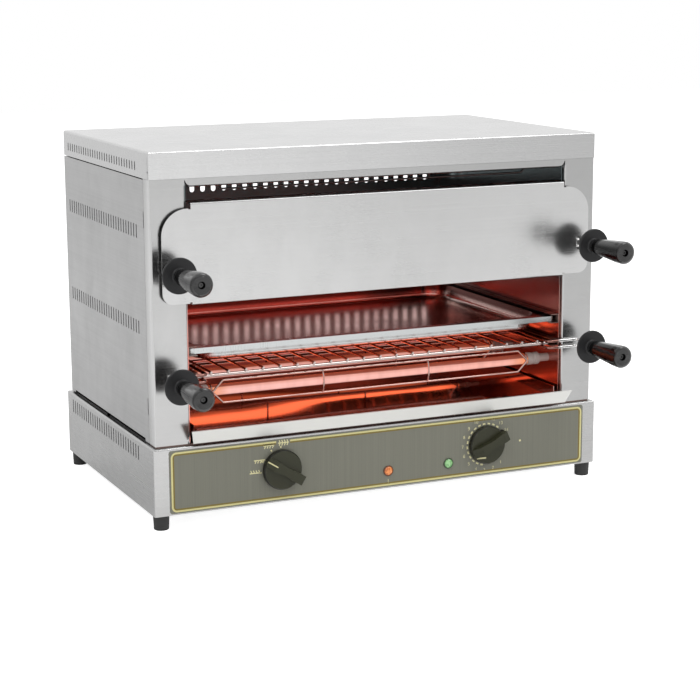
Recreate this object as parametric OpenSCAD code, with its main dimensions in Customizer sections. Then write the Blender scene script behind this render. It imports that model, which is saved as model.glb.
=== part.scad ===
// Two level quartz cheese melter: a louvred sheet steel case on a control base, with
// three rows of quartz tubes, two pull-out wire racks, a pan and a crumb tray.
// Modelled about the middle of the case: X to the right, -Y to the user, Z up from the table.

/* [Case] */
// Width of the base
base_w = 640; // [620:5:700]
// Depth of the base
base_d = 380; // [370:5:420]
// Height of the sheet base above its feet
base_h = 87; // [84:1:92]
// Height of the rubber feet
foot_h = 19; // [14:1:22]
// Height from the table to the top of the lid
overall_h = 475; // [470:5:520]
// How far the upper case stands in from the base at each side
side_step = 5; // [3:1:8]
// How far the upper case stands in from the base, front and back
front_step = 7; // [5:1:9]
// Depth of the lid's skirt
lid_skirt = 34; // [30:1:40]

/* [Sheet metal] */
// Thickness of the outer sheets
outer_t = 1.2; // [1:0.1:1.5]
// Thickness of the inner sheets
inner_t = 1; // [0.8:0.1:1.2]
// Outside radius of the folds
fold_r = 2.4; // [2:0.2:3]
// Gap between sheets that meet
seam = 0.4; // [0.3:0.1:0.6]
// Width of the folded flanges
flange_w = 12; // [8:1:14]

/* [Front opening] */
// Width of the front opening
opening_w = 538; // [520:2:546]
// Depth of the header below the lid
header_h = 11; // [8:1:14]
// Depth of the folds round the front opening
return_d = 14; // [10:1:16]

/* [Louvres] */
// Pitch of the side louvres
louvre_pitch = 10.4; // [9:0.2:13]
// Width of a side louvre
louvre_w = 3; // [2:0.5:5]
// Louvres in a row
louvre_n = 29; // [20:1:29]
// Height of the louvres in the side panels
side_louvre_h = 17.5; // [12:0.5:22]
// Height of the louvres in the lid's skirt
lid_louvre_h = 11; // [8:0.5:14]
// Height of the louvres in the base
base_louvre_h = 19; // [12:0.5:24]
// Middle of the louvre rows behind the middle of the case
louvre_y = 16; // [10:1:18]
// Pitch of the slots in the back panel
back_slot_pitch = 16.2; // [14:0.2:18]
// Width of a slot in the back panel
back_slot_w = 7; // [5:0.5:9]
// Height of a slot in the back panel
back_slot_h = 41; // [30:1:44]
// Slots in a row of the back panel
back_slot_n = 31; // [21:2:31]

/* [Levels above the base] */
// Lower rack
rack_low = 84; // [82:1:88]
// Upper rack
rack_high = 222; // [220:1:224]
// Rim of the pan
pan_level = 120; // [118:1:122]
// Bottom row of quartz tubes
tubes_low = 59; // [57:1:60]
// Middle row of quartz tubes
tubes_mid = 194; // [188:1:196]
// Floor of the crumb tray
tray_level = 16; // [14:1:18]
// Top row of quartz tubes, below the top of the lid
tubes_top_drop = 37; // [36:1:38]

/* [Quartz tubes] */
// Diameter of a quartz tube
tube_d = 14; // [12:0.5:15]
// Wall of a quartz tube
tube_wall = 1.2; // [1:0.1:2]
// How far the outer tubes stand in from the front and back of the case
tube_inset = 34.5; // [30:0.5:50]
// Diameter of a ceramic end cap
cap_d = 17; // [16.5:0.5:19]
// Length of a ceramic end cap
cap_len = 34; // [26:1:40]
// Diameter of the heating wire coil in a tube
coil_d = 7; // [5:0.5:8]
// Height of a wire tube guard
guard_h = 29; // [26:1:30]
// Diameter of the guard wires
guard_wire_d = 2.6; // [2:0.2:3]

/* [Racks and handles] */
// Diameter of a rack's frame wire
frame_wire_d = 5; // [4:0.5:5.5]
// Diameter of a rack's bars
bar_wire_d = 3; // [2.5:0.5:3.5]
// Bars in a rack
bar_n = 21; // [17:2:23]
// Diameter of the handle wires
handle_wire_d = 4; // [3.5:0.5:4.5]
// How far the handles stand outside the opening
handle_out = 23; // [21:1:25]
// Diameter of a heat guard disc
disc_d = 45; // [38:1:46]
// Length of a handle grip
grip_len = 69; // [50:1:90]
// Diameter of a grip at its end
grip_d = 30; // [26:1:32]
// Diameter of a grip at its neck
grip_neck_d = 20; // [18:0.5:22]
// How far a rack, the pan or the tray pulls out
pull_out = 240; // [150:10:260]

/* [Shield] */
// Height of the shield's middle
shield_h = 127; // [118:1:128]
// How far the shield reaches below the upper rack
shield_drop = 43; // [34:1:44]
// Width across the shield's ears
shield_w = 606; // [590:2:608]
// Radius of the ears' top corners
ear_top_r = 34; // [20:1:36]
// Radius of the ears' bottom corners
ear_low_r = 14; // [8:1:18]

/* [Pan and tray] */
// Depth of the pan
pan_depth = 20; // [15:1:21]
// Room left behind the pan
pan_room = 24.9; // [20:0.1:70]
// Width of the pan's rim
pan_rim = 12; // [9:1:14]
// Corner radius of the pan's basin
pan_corner_r = 36; // [25:1:45]
// Height of the tray's front
tray_front_h = 18; // [15:0.5:19]
// Gap below the tray's front
tray_gap = 4; // [2:0.5:5]
// Lean of the tray's front
tray_lean = 29; // [15:1:32]

/* [Controls] */
// Knobs from the middle of the plate
knob_x = 149; // [120:1:200]
// Knobs above the table side of the base
knob_rise = 44; // [38:1:52]
// Diameter of a knob
knob_d = 52; // [40:1:54]
// Height of a knob's grip
knob_h = 15; // [12:0.5:18]
// Place of the orange lamp
lamp_orange_x = 3; // [-60:1:30]
// Place of the green lamp
lamp_green_x = 92; // [60:1:110]
// Lamps above the table side of the base
lamp_rise = 24; // [18:1:50]
// Diameter of a lamp's bezel
lamp_d = 14.4; // [12:0.2:18]

/* [Hidden] */
$fn = 48;

steel = [0.80, 0.80, 0.80];
bright_steel = [0.88, 0.88, 0.88];
dark_plastic = [0.12, 0.12, 0.12];
olive_plate = [0.47, 0.47, 0.42];
quartz = [1.00, 0.78, 0.70];
glowing = [1.00, 0.35, 0.12];
ceramic = [0.72, 0.70, 0.66];

// main planes of the case
base_top = foot_h + base_h;
body_w = base_w - 2 * side_step;
body_d = base_d - 2 * front_step;
lid_low = overall_h - lid_skirt;
body_low = base_top + outer_t + seam;
body_x = body_w / 2;
body_y = body_d / 2;
wall_top = lid_low - seam / 2;
// the side panels end a little below the lid's skirt
side_top = lid_low - 1.4;
wall_h = lid_low - base_top;
side_louvre_rows = [0.797 * wall_h, 0.433 * wall_h];
back_slot_rows = [0.878 * wall_h, 0.412 * wall_h];
side_tab_rows = [0.848 * wall_h, 0.146 * wall_h];
opening_x = opening_w / 2;
header_low = lid_low - header_h;
front_y = -base_d / 2;
shallow = outer_t + seam;
air_gap_y = 10;
air_gap_len = base_d - 70;
back_screw_z = [base_top + 30, base_top + 165, lid_low - 22];
back_screw_x = body_x - 7;
// how far back the front posts reach along the sides
post_back = -body_y + 23;

foot_x = base_w / 2 - 12;
foot_y = base_d / 2 - 12;

// cavity
liner_x = opening_x - 2;
liner_front = -(body_y - 5);
liner_back = body_y - 2 * outer_t - seam - 0.3;
liner_low = base_top + outer_t;
liner_high = overall_h - 18;
liner_flange = 15;
runner_lip = 12;
runner_back = liner_back - 8;

// levels
rack_low_z = base_top + rack_low;
rack_high_z = base_top + rack_high;
pan_z = base_top + pan_level;
tube_levels = [base_top + tubes_low, base_top + tubes_mid, overall_h - tubes_top_drop];
tray_z = base_top + tray_level;
tube_pitch = 2 * (body_y - tube_inset) / 3;

// racks
rack_x = liner_x - 7.5;
rack_front = -(body_y - 11);
rack_back = runner_back - 6;
bar_pitch = 2 * rack_x / (bar_n + 1);
bar_rise = (frame_wire_d + bar_wire_d) / 2 + 0.05;
handle_x = opening_x + handle_out;
handle_plane = -(body_y + 3.2);
handle_bend = 6;
handle_in = opening_x - 23;
handle_split = (frame_wire_d + handle_wire_d) / 2 + 0.05;
handle_slot_w = handle_wire_d + handle_bend;
disc_back = -(body_y + 38);
disc_t = 3.5;
hub_len = 8;
hub_d = 18;
grip_back = disc_back - disc_t - hub_len;
grip_end = grip_back - grip_len;
socket_r = handle_wire_d / 2 + 0.1;
socket_depth = 16;

// shield
shield_front = handle_plane - 3.8;
shield_low = rack_high_z - shield_drop;
shield_high = shield_low + shield_h;
shield_mid_x = opening_x - 3;
ear_step_top = 7;
ear_step_low = 2;
shield_flange = 9;
shield_top_flange = 26;

// pan
pan_x = liner_x - 2.5;
pan_front = -(body_y - 13);
pan_len = liner_back - pan_front - pan_room;
pan_outer_r = 5;
pan_hem = 7;
pan_t = 0.8;
pan_wall = 5;
pan_fillet = 7;

// crumb tray
tray_x = liner_x - 5;
tray_side = 8;
tray_foot_y = -(body_y + 12);
tray_back = runner_back - 4;
tray_plate_len = tray_front_h / cos(tray_lean);
rail_x = tray_x - 12;

// controls
plate_w = 600;
plate_t = 0.9;
plate_low = foot_h + 2;
plate_high = base_top - 3.6;
plate_front = front_y - plate_t;
knob_z = foot_h + knob_rise;
lamp_z = foot_h + lamp_rise;
knob_gap = 1;
bush_r = 5;
bush_len = 5;
nut_t = 2.5;
shaft_r = 3;
shaft_play = 0.05;
selector_turn = 148;
timer_turn = 205;
// bodies behind the front wall: width, height, depth
switch_body = [44, 40, 46];
switch_collar = 26;
movement_body = [50, 46, 34];
movement_collar = 34;
terminal_step = 12;

// cable gland
gland_x = base_w / 2 - 110;
gland_z = foot_h + 26;
gland_reach = 20;
cable_r = 4.5;

// the origin lies below the middle of the whole machine, handles and gland included
middle_y = -(grip_end + base_d / 2 + gland_reach) / 2;

module placed() translate([0, middle_y, 0]) children();

module both_sides() {
    children();
    mirror([1, 0, 0]) children();
}

// a rod along X, Y or Z between two places
module rod_x(x0, x1, y, z, d) translate([x0, y, z]) rotate([0, 90, 0]) cylinder(d = d, h = x1 - x0);
module rod_y(x, y0, y1, z, d) translate([x, y0, z]) rotate([-90, 0, 0]) cylinder(d = d, h = y1 - y0);
module rod_z(x, y, z0, z1, d) translate([x, y, z0]) cylinder(d = d, h = z1 - z0);

// rectangle with round corners, made of squares and circles
module round_rect(w, d, r) {
    square([w - 2 * r, d], center = true);
    square([w, d - 2 * r], center = true);
    for (sx = [-1, 1], sy = [-1, 1])
        translate([sx * (w / 2 - r), sy * (d / 2 - r)]) circle(r = r);
}

// upright slot with round ends
module slot_shape(w, h) {
    square([w, h - w], center = true);
    for (s = [-1, 1]) translate([0, s * (h - w) / 2]) circle(d = w);
}

module slot_row(n, pitch, w, h)
    for (i = [0 : n - 1]) translate([(i - (n - 1) / 2) * pitch, 0]) slot_shape(w, h);

// what is cut from a square corner at the origin to round it; the part lies at +x, +y
module corner_cut(r)
    difference() {
        translate([-1, -1]) square([r + 1, r + 1]);
        translate([r, r]) circle(r = r);
    }

// sheet folded to a C: web along y, flanges towards +x, corners round on the outside
module folded_c(web, low_flange, high_flange, t, r) {
    difference() {
        square([max(low_flange, high_flange), web]);
        translate([t, t]) square([max(low_flange, high_flange), web - 2 * t]);
        if (low_flange < high_flange)
            translate([low_flange, -1]) square([high_flange, t + 1]);
        if (high_flange < low_flange)
            translate([high_flange, web - t]) square([low_flange, t + 1]);
        corner_cut(r);
        translate([0, web]) mirror([0, 1]) corner_cut(r);
    }
    for (m = [0, 1])
        translate([0, m * web]) mirror([0, m]) intersection() {
            square([r, r]);
            difference() {
                translate([r, r]) circle(r = r);
                translate([r, r]) circle(r = r - t);
            }
        }
}

// outline (y, z) turned to stand in the YZ plane, with a thickness towards +x
module upright_yz(x, t) translate([x, 0, 0]) rotate([90, 0, 90]) linear_extrude(t) children();
// outline (x, z) turned to stand in the XZ plane, from y to y + t
module upright_xz(y, t) translate([0, y + t, 0]) rotate([90, 0, 0]) linear_extrude(t) children();

// ---- base -------------------------------------------------------------------

module louvre_cut_sides(z, h, reach)
    translate([-reach - 10, 0, 0]) upright_yz(0, 2 * reach + 20)
        translate([louvre_y, z]) slot_row(louvre_n, louvre_pitch, louvre_w, h);

// block with round upright corners and round top edges
module base_block(w, d, low, high, r)
    intersection() {
        lid_block(w, d, low, high, r);
        translate([0, 0, low]) linear_extrude(high - low) round_rect(w, d, r);
    }

module base_housing() color(steel) placed() {
    louvre_z = base_top - 17;
    difference() {
        base_block(base_w, base_d, foot_h, base_top, fold_r);
        base_block(base_w - 2 * outer_t, base_d - 2 * outer_t, foot_h - 1, base_top - outer_t,
                   fold_r - outer_t);
        translate([0, 0, base_top - 2 * outer_t]) linear_extrude(3 * outer_t)
            square([base_w - 2 * side_step - 40, base_d - 2 * front_step - 30], center = true);
        louvre_cut_sides(louvre_z, base_louvre_h, base_w / 2);
        for (x = [-knob_x, knob_x])
            rod_y(x, front_y - 1, front_y + outer_t + 1, knob_z, 2 * bush_r + 0.4);
        for (x = [lamp_orange_x, lamp_green_x])
            rod_y(x, front_y - 1, front_y + outer_t + 1, lamp_z, lamp_d - 4);
        rod_y(gland_x, base_d / 2 - outer_t - 1, base_d / 2 + 1, gland_z, 16.4);
    }
}

module base_bottom_plate() color(steel) placed() {
    plate_in = 2 * outer_t + seam;
    difference() {
        translate([0, 0, foot_h]) linear_extrude(outer_t) difference() {
            round_rect(base_w - plate_in, base_d - plate_in, fold_r - outer_t);
            for (y = [-60, 60], x = [-130, 130])
                translate([x, y]) slot_row(12, 14, 5, 46);
        }
        for (x = [-1, 1], y = [-1, 1])
            translate([x * foot_x, y * foot_y, foot_h - 1]) cylinder(r = 2.2, h = outer_t + 2);
    }
}

module at_feet()
    for (x = [-1, 1], y = [-1, 1]) translate([x * foot_x, y * foot_y, 0]) children();

module feet() color(dark_plastic) placed() at_feet()
    rotate_extrude() difference() {
        polygon([[4.5, 0], [9, 0], [9.7, 0.7], [10.4, foot_h - 1.2], [9.9, foot_h],
                 [2.2, foot_h], [2.2, 6], [4.5, 6]]);
    }

module foot_screws() color(bright_steel) placed() at_feet()
    rotate_extrude() polygon([[0, 3.2], [3.4, 3.2], [4, 3.8], [4, 6], [2, 6],
                              [2, foot_h + outer_t + 3], [0, foot_h + outer_t + 3]]);

module control_plate() color(olive_plate) placed()
    difference() {
        upright_xz(plate_front, plate_t) translate([0, (plate_low + plate_high) / 2])
            round_rect(plate_w, plate_high - plate_low, 3);
        for (x = [-knob_x, knob_x]) rod_y(x, plate_front - 1, front_y + 1, knob_z, 2 * bush_r + 0.4);
        for (x = [lamp_orange_x, lamp_green_x])
            rod_y(x, plate_front - 1, front_y + 1, lamp_z, lamp_d - 4);
    }

// ---- upper case -------------------------------------------------------------

module cavity_floor() color(steel) placed()
    translate([0, 0, base_top]) linear_extrude(outer_t) difference() {
        square([body_w - 2 * outer_t - 2 * seam, body_d - 2 * outer_t - 2 * seam], center = true);
        for (x = [-1, 1])
            translate([x * (body_x - 22), louvre_y]) rotate(90) slot_row(1, 10, 12, 240);
    }

// one front post: a C of sheet with its folds towards the back
module post_plan() {
    translate([opening_x, -body_y]) mirror([0, 1]) rotate(-90)
        folded_c(body_x - opening_x, return_d, body_y + post_back, outer_t, fold_r);
}

module front_fascia() color(steel) placed() {
    header_x = opening_x;
    difference() {
        union() {
            both_sides() translate([0, 0, body_low]) linear_extrude(wall_top - body_low) post_plan();
            upright_xz(-body_y, outer_t) difference() {
                translate([-header_x - fold_r, header_low + fold_r])
                    square([2 * (header_x + fold_r), wall_top - header_low - fold_r]);
            }
            // the header's lower edge is folded back on a wide radius
            translate([-header_x + 7, 0, 0]) rotate([90, 0, 90]) linear_extrude(2 * header_x - 14)
                translate([-body_y, header_low])
                    intersection() {
                        folded_c(30, return_d, return_d, outer_t, 2 * fold_r);
                        square([return_d, 2 * fold_r + 1]);
                    }
            // flange under the lid
            translate([0, 0, wall_top - outer_t]) linear_extrude(outer_t)
                translate([-body_x + fold_r, -body_y + outer_t / 2])
                    square([body_w - 2 * fold_r, flange_w]);
        }
        // curved relief where the header meets the posts
        both_sides() upright_xz(-body_y - 1, outer_t + 2 * fold_r) translate([-opening_x, header_low])
            difference() {
                translate([-0.5, -1]) square([8, wall_top - header_low - 1]);
                translate([9.5, wall_top - header_low]) circle(r = 9.3);
                translate([7.5, -2]) square([10, 30]);
            }
        // small relief at the foot of each post
        both_sides() translate([opening_x - 1, -body_y - 1, body_low - 1]) cube([4, outer_t + 2, 4]);
        // slits in the top flange for the liners
        both_sides() translate([liner_x - 0.5, liner_front - 0.5, wall_top - outer_t - 1])
            cube([inner_t + 1, flange_w, outer_t + 2]);
    }
}

// side panel: a sheet between the front post and the back, open below along its middle
module side_panel_outline() {
    y0 = post_back + seam;
    difference() {
        translate([y0, body_low]) square([body_y - y0, side_top - body_low]);
        // the long air gap above the base
        translate([air_gap_y, body_low]) round_rect(air_gap_len, 7, 1.5);
        for (h = side_tab_rows)
            translate([y0 - 1, base_top + h - 10.5]) square([3, 21]);
        for (h = side_louvre_rows)
            translate([louvre_y, base_top + h]) slot_row(louvre_n, louvre_pitch, louvre_w, side_louvre_h);
    }
}

module side_panel() {
    y0 = post_back + seam;
    upright_yz(-body_x, outer_t) side_panel_outline();
    // folded edges: front, back and top
    translate([-body_x + outer_t / 2, y0, body_low + 40])
        cube([flange_w, outer_t, side_top - body_low - 40 - outer_t]);
    difference() {
        translate([-body_x + outer_t / 2, body_y - outer_t, body_low])
            cube([flange_w, outer_t, side_top - body_low]);
        for (z = back_screw_z) rod_y(-back_screw_x, body_y - 4, body_y + 1, z, 3.6);
    }
    translate([-body_x + outer_t / 2, y0, side_top - outer_t])
        cube([flange_w, body_y - y0, outer_t]);
}

module left_side_panel() color(steel) placed() side_panel();
module right_side_panel() color(steel) placed() mirror([1, 0, 0]) side_panel();

module rear_panel() color(steel) placed() {
    back = body_y - 2 * outer_t - 0.2;
    upright_xz(back, outer_t) difference() {
        translate([-body_x + shallow, body_low]) square([body_w - 2 * shallow, side_top - shallow - body_low]);
        for (h = back_slot_rows)
            translate([0, base_top + h]) slot_row(back_slot_n, back_slot_pitch, back_slot_w, back_slot_h);
        for (x = [-1, 1], z = back_screw_z) translate([x * back_screw_x, z]) circle(d = 3.6);
    }
    // stiffening fold along the foot
    translate([-liner_x, back - flange_w, body_low])
        cube([2 * liner_x, flange_w + outer_t / 2, outer_t]);
}

// top and skirts of the lid, with round top edges
module lid_block(w, d, low, high, r)
    intersection() {
        translate([0, d / 2, 0]) rotate([90, 0, 0]) linear_extrude(d)
            difference() {
                translate([-w / 2, low]) square([w, high - low]);
                for (s = [0, 1]) mirror([s, 0]) translate([-w / 2, high]) mirror([0, 1]) corner_cut(r);
            }
        translate([-w / 2, 0, 0]) rotate([90, 0, 90]) linear_extrude(w)
            difference() {
                translate([-d / 2, low]) square([d, high - low]);
                for (s = [0, 1]) mirror([s, 0]) translate([-d / 2, high]) mirror([0, 1]) corner_cut(r);
            }
    }

module lid() color(steel) placed()
    difference() {
        lid_block(body_w, body_d, lid_low, overall_h, fold_r);
        lid_block(body_w - 2 * outer_t, body_d - 2 * outer_t, lid_low - 1, overall_h - outer_t,
                  fold_r - outer_t);
        louvre_cut_sides(lid_low + 13, lid_louvre_h, body_x);
        // open seam and drain hole at the front corners
        both_sides() {
            translate([-body_x - 1, -body_y + fold_r + 2, lid_low - 1]) cube([outer_t + 1.5, 0.6, 27]);
            rod_x(-body_x - 1, -body_x + outer_t + 1, -body_y + fold_r + 2.3, lid_low + 9, 3);
        }
    }

// ---- cavity -----------------------------------------------------------------

module each_tube(level)
    for (i = [-1.5 : 1 : 1.5]) translate([0, i * tube_pitch, tube_levels[level]]) children();

cap_neck_d = 9;
cap_foot = liner_x - 0.1;

module liner() {
    upright_yz(-liner_x - inner_t, inner_t) difference() {
        translate([liner_front, liner_low + inner_t / 2])
            square([liner_back - liner_front, liner_high - liner_low - inner_t]);
        for (z = tube_levels, i = [-1.5 : 1 : 1.5])
            translate([i * tube_pitch, z]) circle(d = cap_neck_d + 0.6);
    }
    low_front = -(body_y - return_d - 2);
    translate([-liner_x - liner_flange, low_front, liner_low])
        cube([liner_flange - inner_t / 2, liner_back - low_front, inner_t]);
    translate([-liner_x - liner_flange, liner_front, liner_high - inner_t])
        cube([liner_flange - inner_t / 2, liner_back - liner_front, inner_t]);
}

module left_liner() color(bright_steel) placed() liner();
module right_liner() color(bright_steel) placed() mirror([1, 0, 0]) liner();

module top_reflector() color(bright_steel) placed() {
    translate([-liner_x - liner_flange + 1, 0, 0]) rotate([90, 0, 90])
        linear_extrude(2 * (liner_x + liner_flange - 1))
            translate([liner_front, liner_high]) square([liner_back - liner_front, inner_t]);
    // front lip, between the liners
    translate([-liner_x + 0.3, liner_front, liner_high - 16])
        cube([2 * liner_x - 0.6, inner_t, 16 + inner_t / 2]);
}

// runner: a channel whose lips hold the side of a rack or of the pan
module runner(z, clear_low, clear_high) {
    web = clear_low + clear_high + 2 * inner_t;
    translate([-liner_x, liner_front, z - clear_low - inner_t])
        rotate([90, 0, 0]) mirror([0, 0, 1]) linear_extrude(runner_back - liner_front)
            folded_c(web, runner_lip, runner_lip, inner_t, 1.6);
    translate([-liner_x + inner_t / 2, runner_back - inner_t, z - clear_low - inner_t / 2])
        cube([runner_lip - inner_t, inner_t, web - inner_t]);
}

module runners() {
    wire_play = 0.3;
    for (z = [rack_low_z, rack_high_z])
        runner(z, frame_wire_d / 2 + wire_play, frame_wire_d / 2 + 2.7);
    runner(pan_z, pan_hem + wire_play, 3.2);
}

module left_runners() color(steel) placed() runners();
module right_runners() color(steel) placed() mirror([1, 0, 0]) runners();

// two steps of sheet that carry the crumb tray above the cavity floor
module tray_rails() color(steel) placed() both_sides()
    translate([0, liner_front, 0]) rotate([90, 0, 0]) mirror([0, 0, 1])
        linear_extrude(tray_back - 4 - liner_front) {
            high = tray_z - inner_t - 0.2;
            translate([-liner_x + 0.1, high - inner_t]) square([liner_x - rail_x, inner_t]);
            translate([-rail_x, liner_low]) square([inner_t, high - liner_low]);
        }

// ---- quartz tubes -----------------------------------------------------------

tube_end = liner_x - cap_len + 4;

module tubes(level) each_tube(level)
    difference() {
        rod_x(-tube_end, tube_end, 0, 0, tube_d);
        rod_x(-tube_end - 1, tube_end + 1, 0, 0, tube_d - 2 * tube_wall);
    }

module bottom_tubes() color(quartz) placed() tubes(0);
module middle_tubes() color(quartz) placed() tubes(1);
module top_tubes() color(quartz) placed() tubes(2);

module coils(level) each_tube(level) rod_x(-tube_end, tube_end, 0, 0, coil_d);

module bottom_heating_coils() color(glowing) placed() coils(0);
module middle_heating_coils() color(glowing) placed() coils(1);
module top_heating_coils() color(glowing) placed() coils(2);

// ceramic cap: a socket for the tube in a grooved barrel, a slim stem and a neck through the liner
module tube_cap()
    translate([cap_foot, 0, 0]) rotate([0, -90, 0]) rotate_extrude() {
        r = cap_d / 2;
        stem_r = 0.65 * r;
        stem = 0.45 * cap_len;
        tube_r = tube_d / 2 + 0.1;
        difference() {
            polygon([[0, -5.5], [cap_neck_d / 2 - 0.6, -5.5], [cap_neck_d / 2, -4.9], [cap_neck_d / 2, 0],
                     [stem_r, 0], [stem_r, stem], [r - 1, stem], [r, stem + 1], [r, stem + 7],
                     [r - 1, stem + 8], [r - 1, stem + 10], [r, stem + 11], [r, cap_len - 1],
                     [r - 0.8, cap_len], [0, cap_len]]);
            translate([0, cap_len - 4.1]) square([tube_r, 5]);
        }
    }

module tube_caps(level) each_tube(level) both_sides() tube_cap();

module bottom_tube_caps() color(ceramic) placed() tube_caps(0);
module middle_tube_caps() color(ceramic) placed() tube_caps(1);
module top_tube_caps() color(ceramic) placed() tube_caps(2);

// wire guard before a tube: a long loop, pointed at both ends, on a ring round each end of the
// tube, with round stirrups between its wires
module tube_guard() {
    d = guard_wire_d;
    y = -(cap_d / 2 + d / 2 + 0.8);
    half = guard_h / 2;
    point_x = liner_x - cap_len - 3.6;
    bend_x = point_x - half;
    ring_r = tube_d / 2 + 0.1 + d / 2;
    for (s = [-1, 1]) {
        rod_x(-bend_x, bend_x, y, s * half, d);
        both_sides() {
            translate([bend_x, y, s * half]) sphere(d = d);
            translate([bend_x, y, s * half]) rotate([0, 90 + s * 45, 0]) cylinder(d = d, h = half * sqrt(2));
        }
    }
    both_sides() {
        translate([point_x, y, 0]) sphere(d = d);
        translate([point_x, 0, 0]) rotate([0, 90, 0]) rotate_extrude()
            translate([ring_r, 0]) circle(d = d);
    }
    for (s = [-1, 1])
        translate([s * point_x / 3, y, 0]) rotate([0, 0, -90]) rotate([90, 0, 0]) stirrup(half, d);
}

// a wire arc from the lower to the upper guard wire, bulging to the front
module stirrup(half, d) {
    bulge = 4;
    r = (half * half + bulge * bulge) / (2 * bulge);
    open = asin(half / r);
    translate([-(r - bulge), 0, 0]) rotate([0, 0, -open])
        rotate_extrude(angle = 2 * open) translate([r, 0]) circle(d = d);
}

module bottom_tube_guards() color(bright_steel) placed() each_tube(0) tube_guard();
module middle_tube_guards() color(bright_steel) placed() each_tube(1) tube_guard();
module top_tube_guards() color(bright_steel) placed() each_tube(2) tube_guard();

// ---- electrical parts -------------------------------------------------------

// body behind the front wall with its bush through wall and plate
module control_body(x, size, ring_d) {
    y = front_y + outer_t;
    d = size[2];
    difference() {
        union() {
            translate([x, 0, knob_z]) rotate([-90, 0, 0]) translate([0, 0, y])
                linear_extrude(d) round_rect(size[0], size[1], 3);
            rod_y(x, y + d - 1, y + d + 9, knob_z, ring_d);
            rod_y(x, plate_front - bush_len, y + 1, knob_z, 2 * bush_r);
        }
        rod_y(x, plate_front - bush_len - 1, y + d - 6, knob_z, 2 * (shaft_r + shaft_play));
    }
    // terminals
    for (i = [-1, 0, 1])
        translate([x + i * terminal_step - 3, y + d - 0.5, knob_z + size[1] / 2 - 8]) cube([6, 9, 0.8]);
}

module selector_switch() color([0.85, 0.83, 0.76]) placed() control_body(-knob_x, switch_body, switch_collar);
module timer_movement() color([0.75, 0.75, 0.72]) placed() control_body(knob_x, movement_body, movement_collar);

module control_nuts() color(bright_steel) placed()
    for (x = [-knob_x, knob_x])
        translate([x, plate_front, knob_z]) rotate([90, 0, 0]) difference() {
            cylinder(d = 16, h = nut_t, $fn = 6);
            translate([0, 0, -1]) cylinder(r = bush_r + 0.05, h = nut_t + 2);
        }

module lamp(x, lens_r) {
    translate([x, plate_front, lamp_z]) rotate([90, 0, 0]) intersection() {
        translate([0, 0, -4.2]) sphere(r = 8);
        cylinder(r = lens_r, h = 10);
    }
    rod_y(x, plate_front - 0.01, front_y + 26, lamp_z, lamp_d - 4.4);
    for (s = [-1, 1]) translate([x + s * 3 - 0.4, front_y + 25.5, lamp_z - 2]) cube([0.8, 8, 4]);
}

lens_r = lamp_d / 2 - 1.4;

module orange_lamp() color([0.95, 0.42, 0.10]) placed() lamp(lamp_orange_x, lens_r);
module green_lamp() color([0.45, 0.85, 0.50]) placed() lamp(lamp_green_x, lens_r);

module lamp_bezels() color([0.45, 0.42, 0.25]) placed()
    for (x = [lamp_orange_x, lamp_green_x])
        translate([x, plate_front, lamp_z]) rotate([90, 0, 0]) rotate_extrude()
            polygon([[lens_r + 0.05, 0], [lamp_d / 2, 0], [lamp_d / 2, 0.8], [lamp_d / 2 - 0.8, 1.6],
                     [lens_r + 0.05, 1.6]]);

module terminal_block() color([0.88, 0.88, 0.84]) placed() {
    ways = 5;
    pitch = 11;
    length = ways * pitch;
    translate([gland_x - length / 2, base_d / 2 - 62, foot_h + outer_t]) difference() {
        union() {
            cube([length, 30, 9]);
            translate([0, 6, 0]) cube([length, 18, 20]);
        }
        for (i = [0 : ways - 1]) {
            translate([(i + 0.5) * pitch, 15, 9]) cylinder(r = 3, h = 12);
            translate([(i + 0.5) * pitch, 31, 12]) rotate([90, 0, 0]) cylinder(r = 2.4, h = 32);
        }
    }
}

// cable gland: nut inside, threaded body through the wall and a domed cap outside
module cable_gland() color(dark_plastic) placed()
    translate([gland_x, base_d / 2, gland_z]) rotate([-90, 0, 0]) {
        difference() {
            union() {
                cylinder(d = 24, h = 5, $fn = 6);
                translate([0, 0, -10]) cylinder(d = 16, h = 12);
                translate([0, 0, -outer_t - 4]) cylinder(d = 22, h = 4, $fn = 6);
                rotate_extrude() polygon([[0, 4], [10.4, 4], [10.4, 14], [8.5, gland_reach - 1],
                                          [7.5, gland_reach], [0, gland_reach]]);
            }
            translate([0, 0, -12]) cylinder(r = cable_r, h = gland_reach + 14);
        }
    }

module rear_screws() color(bright_steel) placed()
    for (x = [-1, 1], z = back_screw_z)
        translate([x * back_screw_x, body_y, z]) rotate([-90, 0, 0])
            rotate_extrude() polygon([[0, -4], [1.6, -4], [1.6, 0], [3.6, 0], [3.6, 0.8], [2.6, 1.8], [0, 1.8]]);

// ---- knobs ------------------------------------------------------------------

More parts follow.
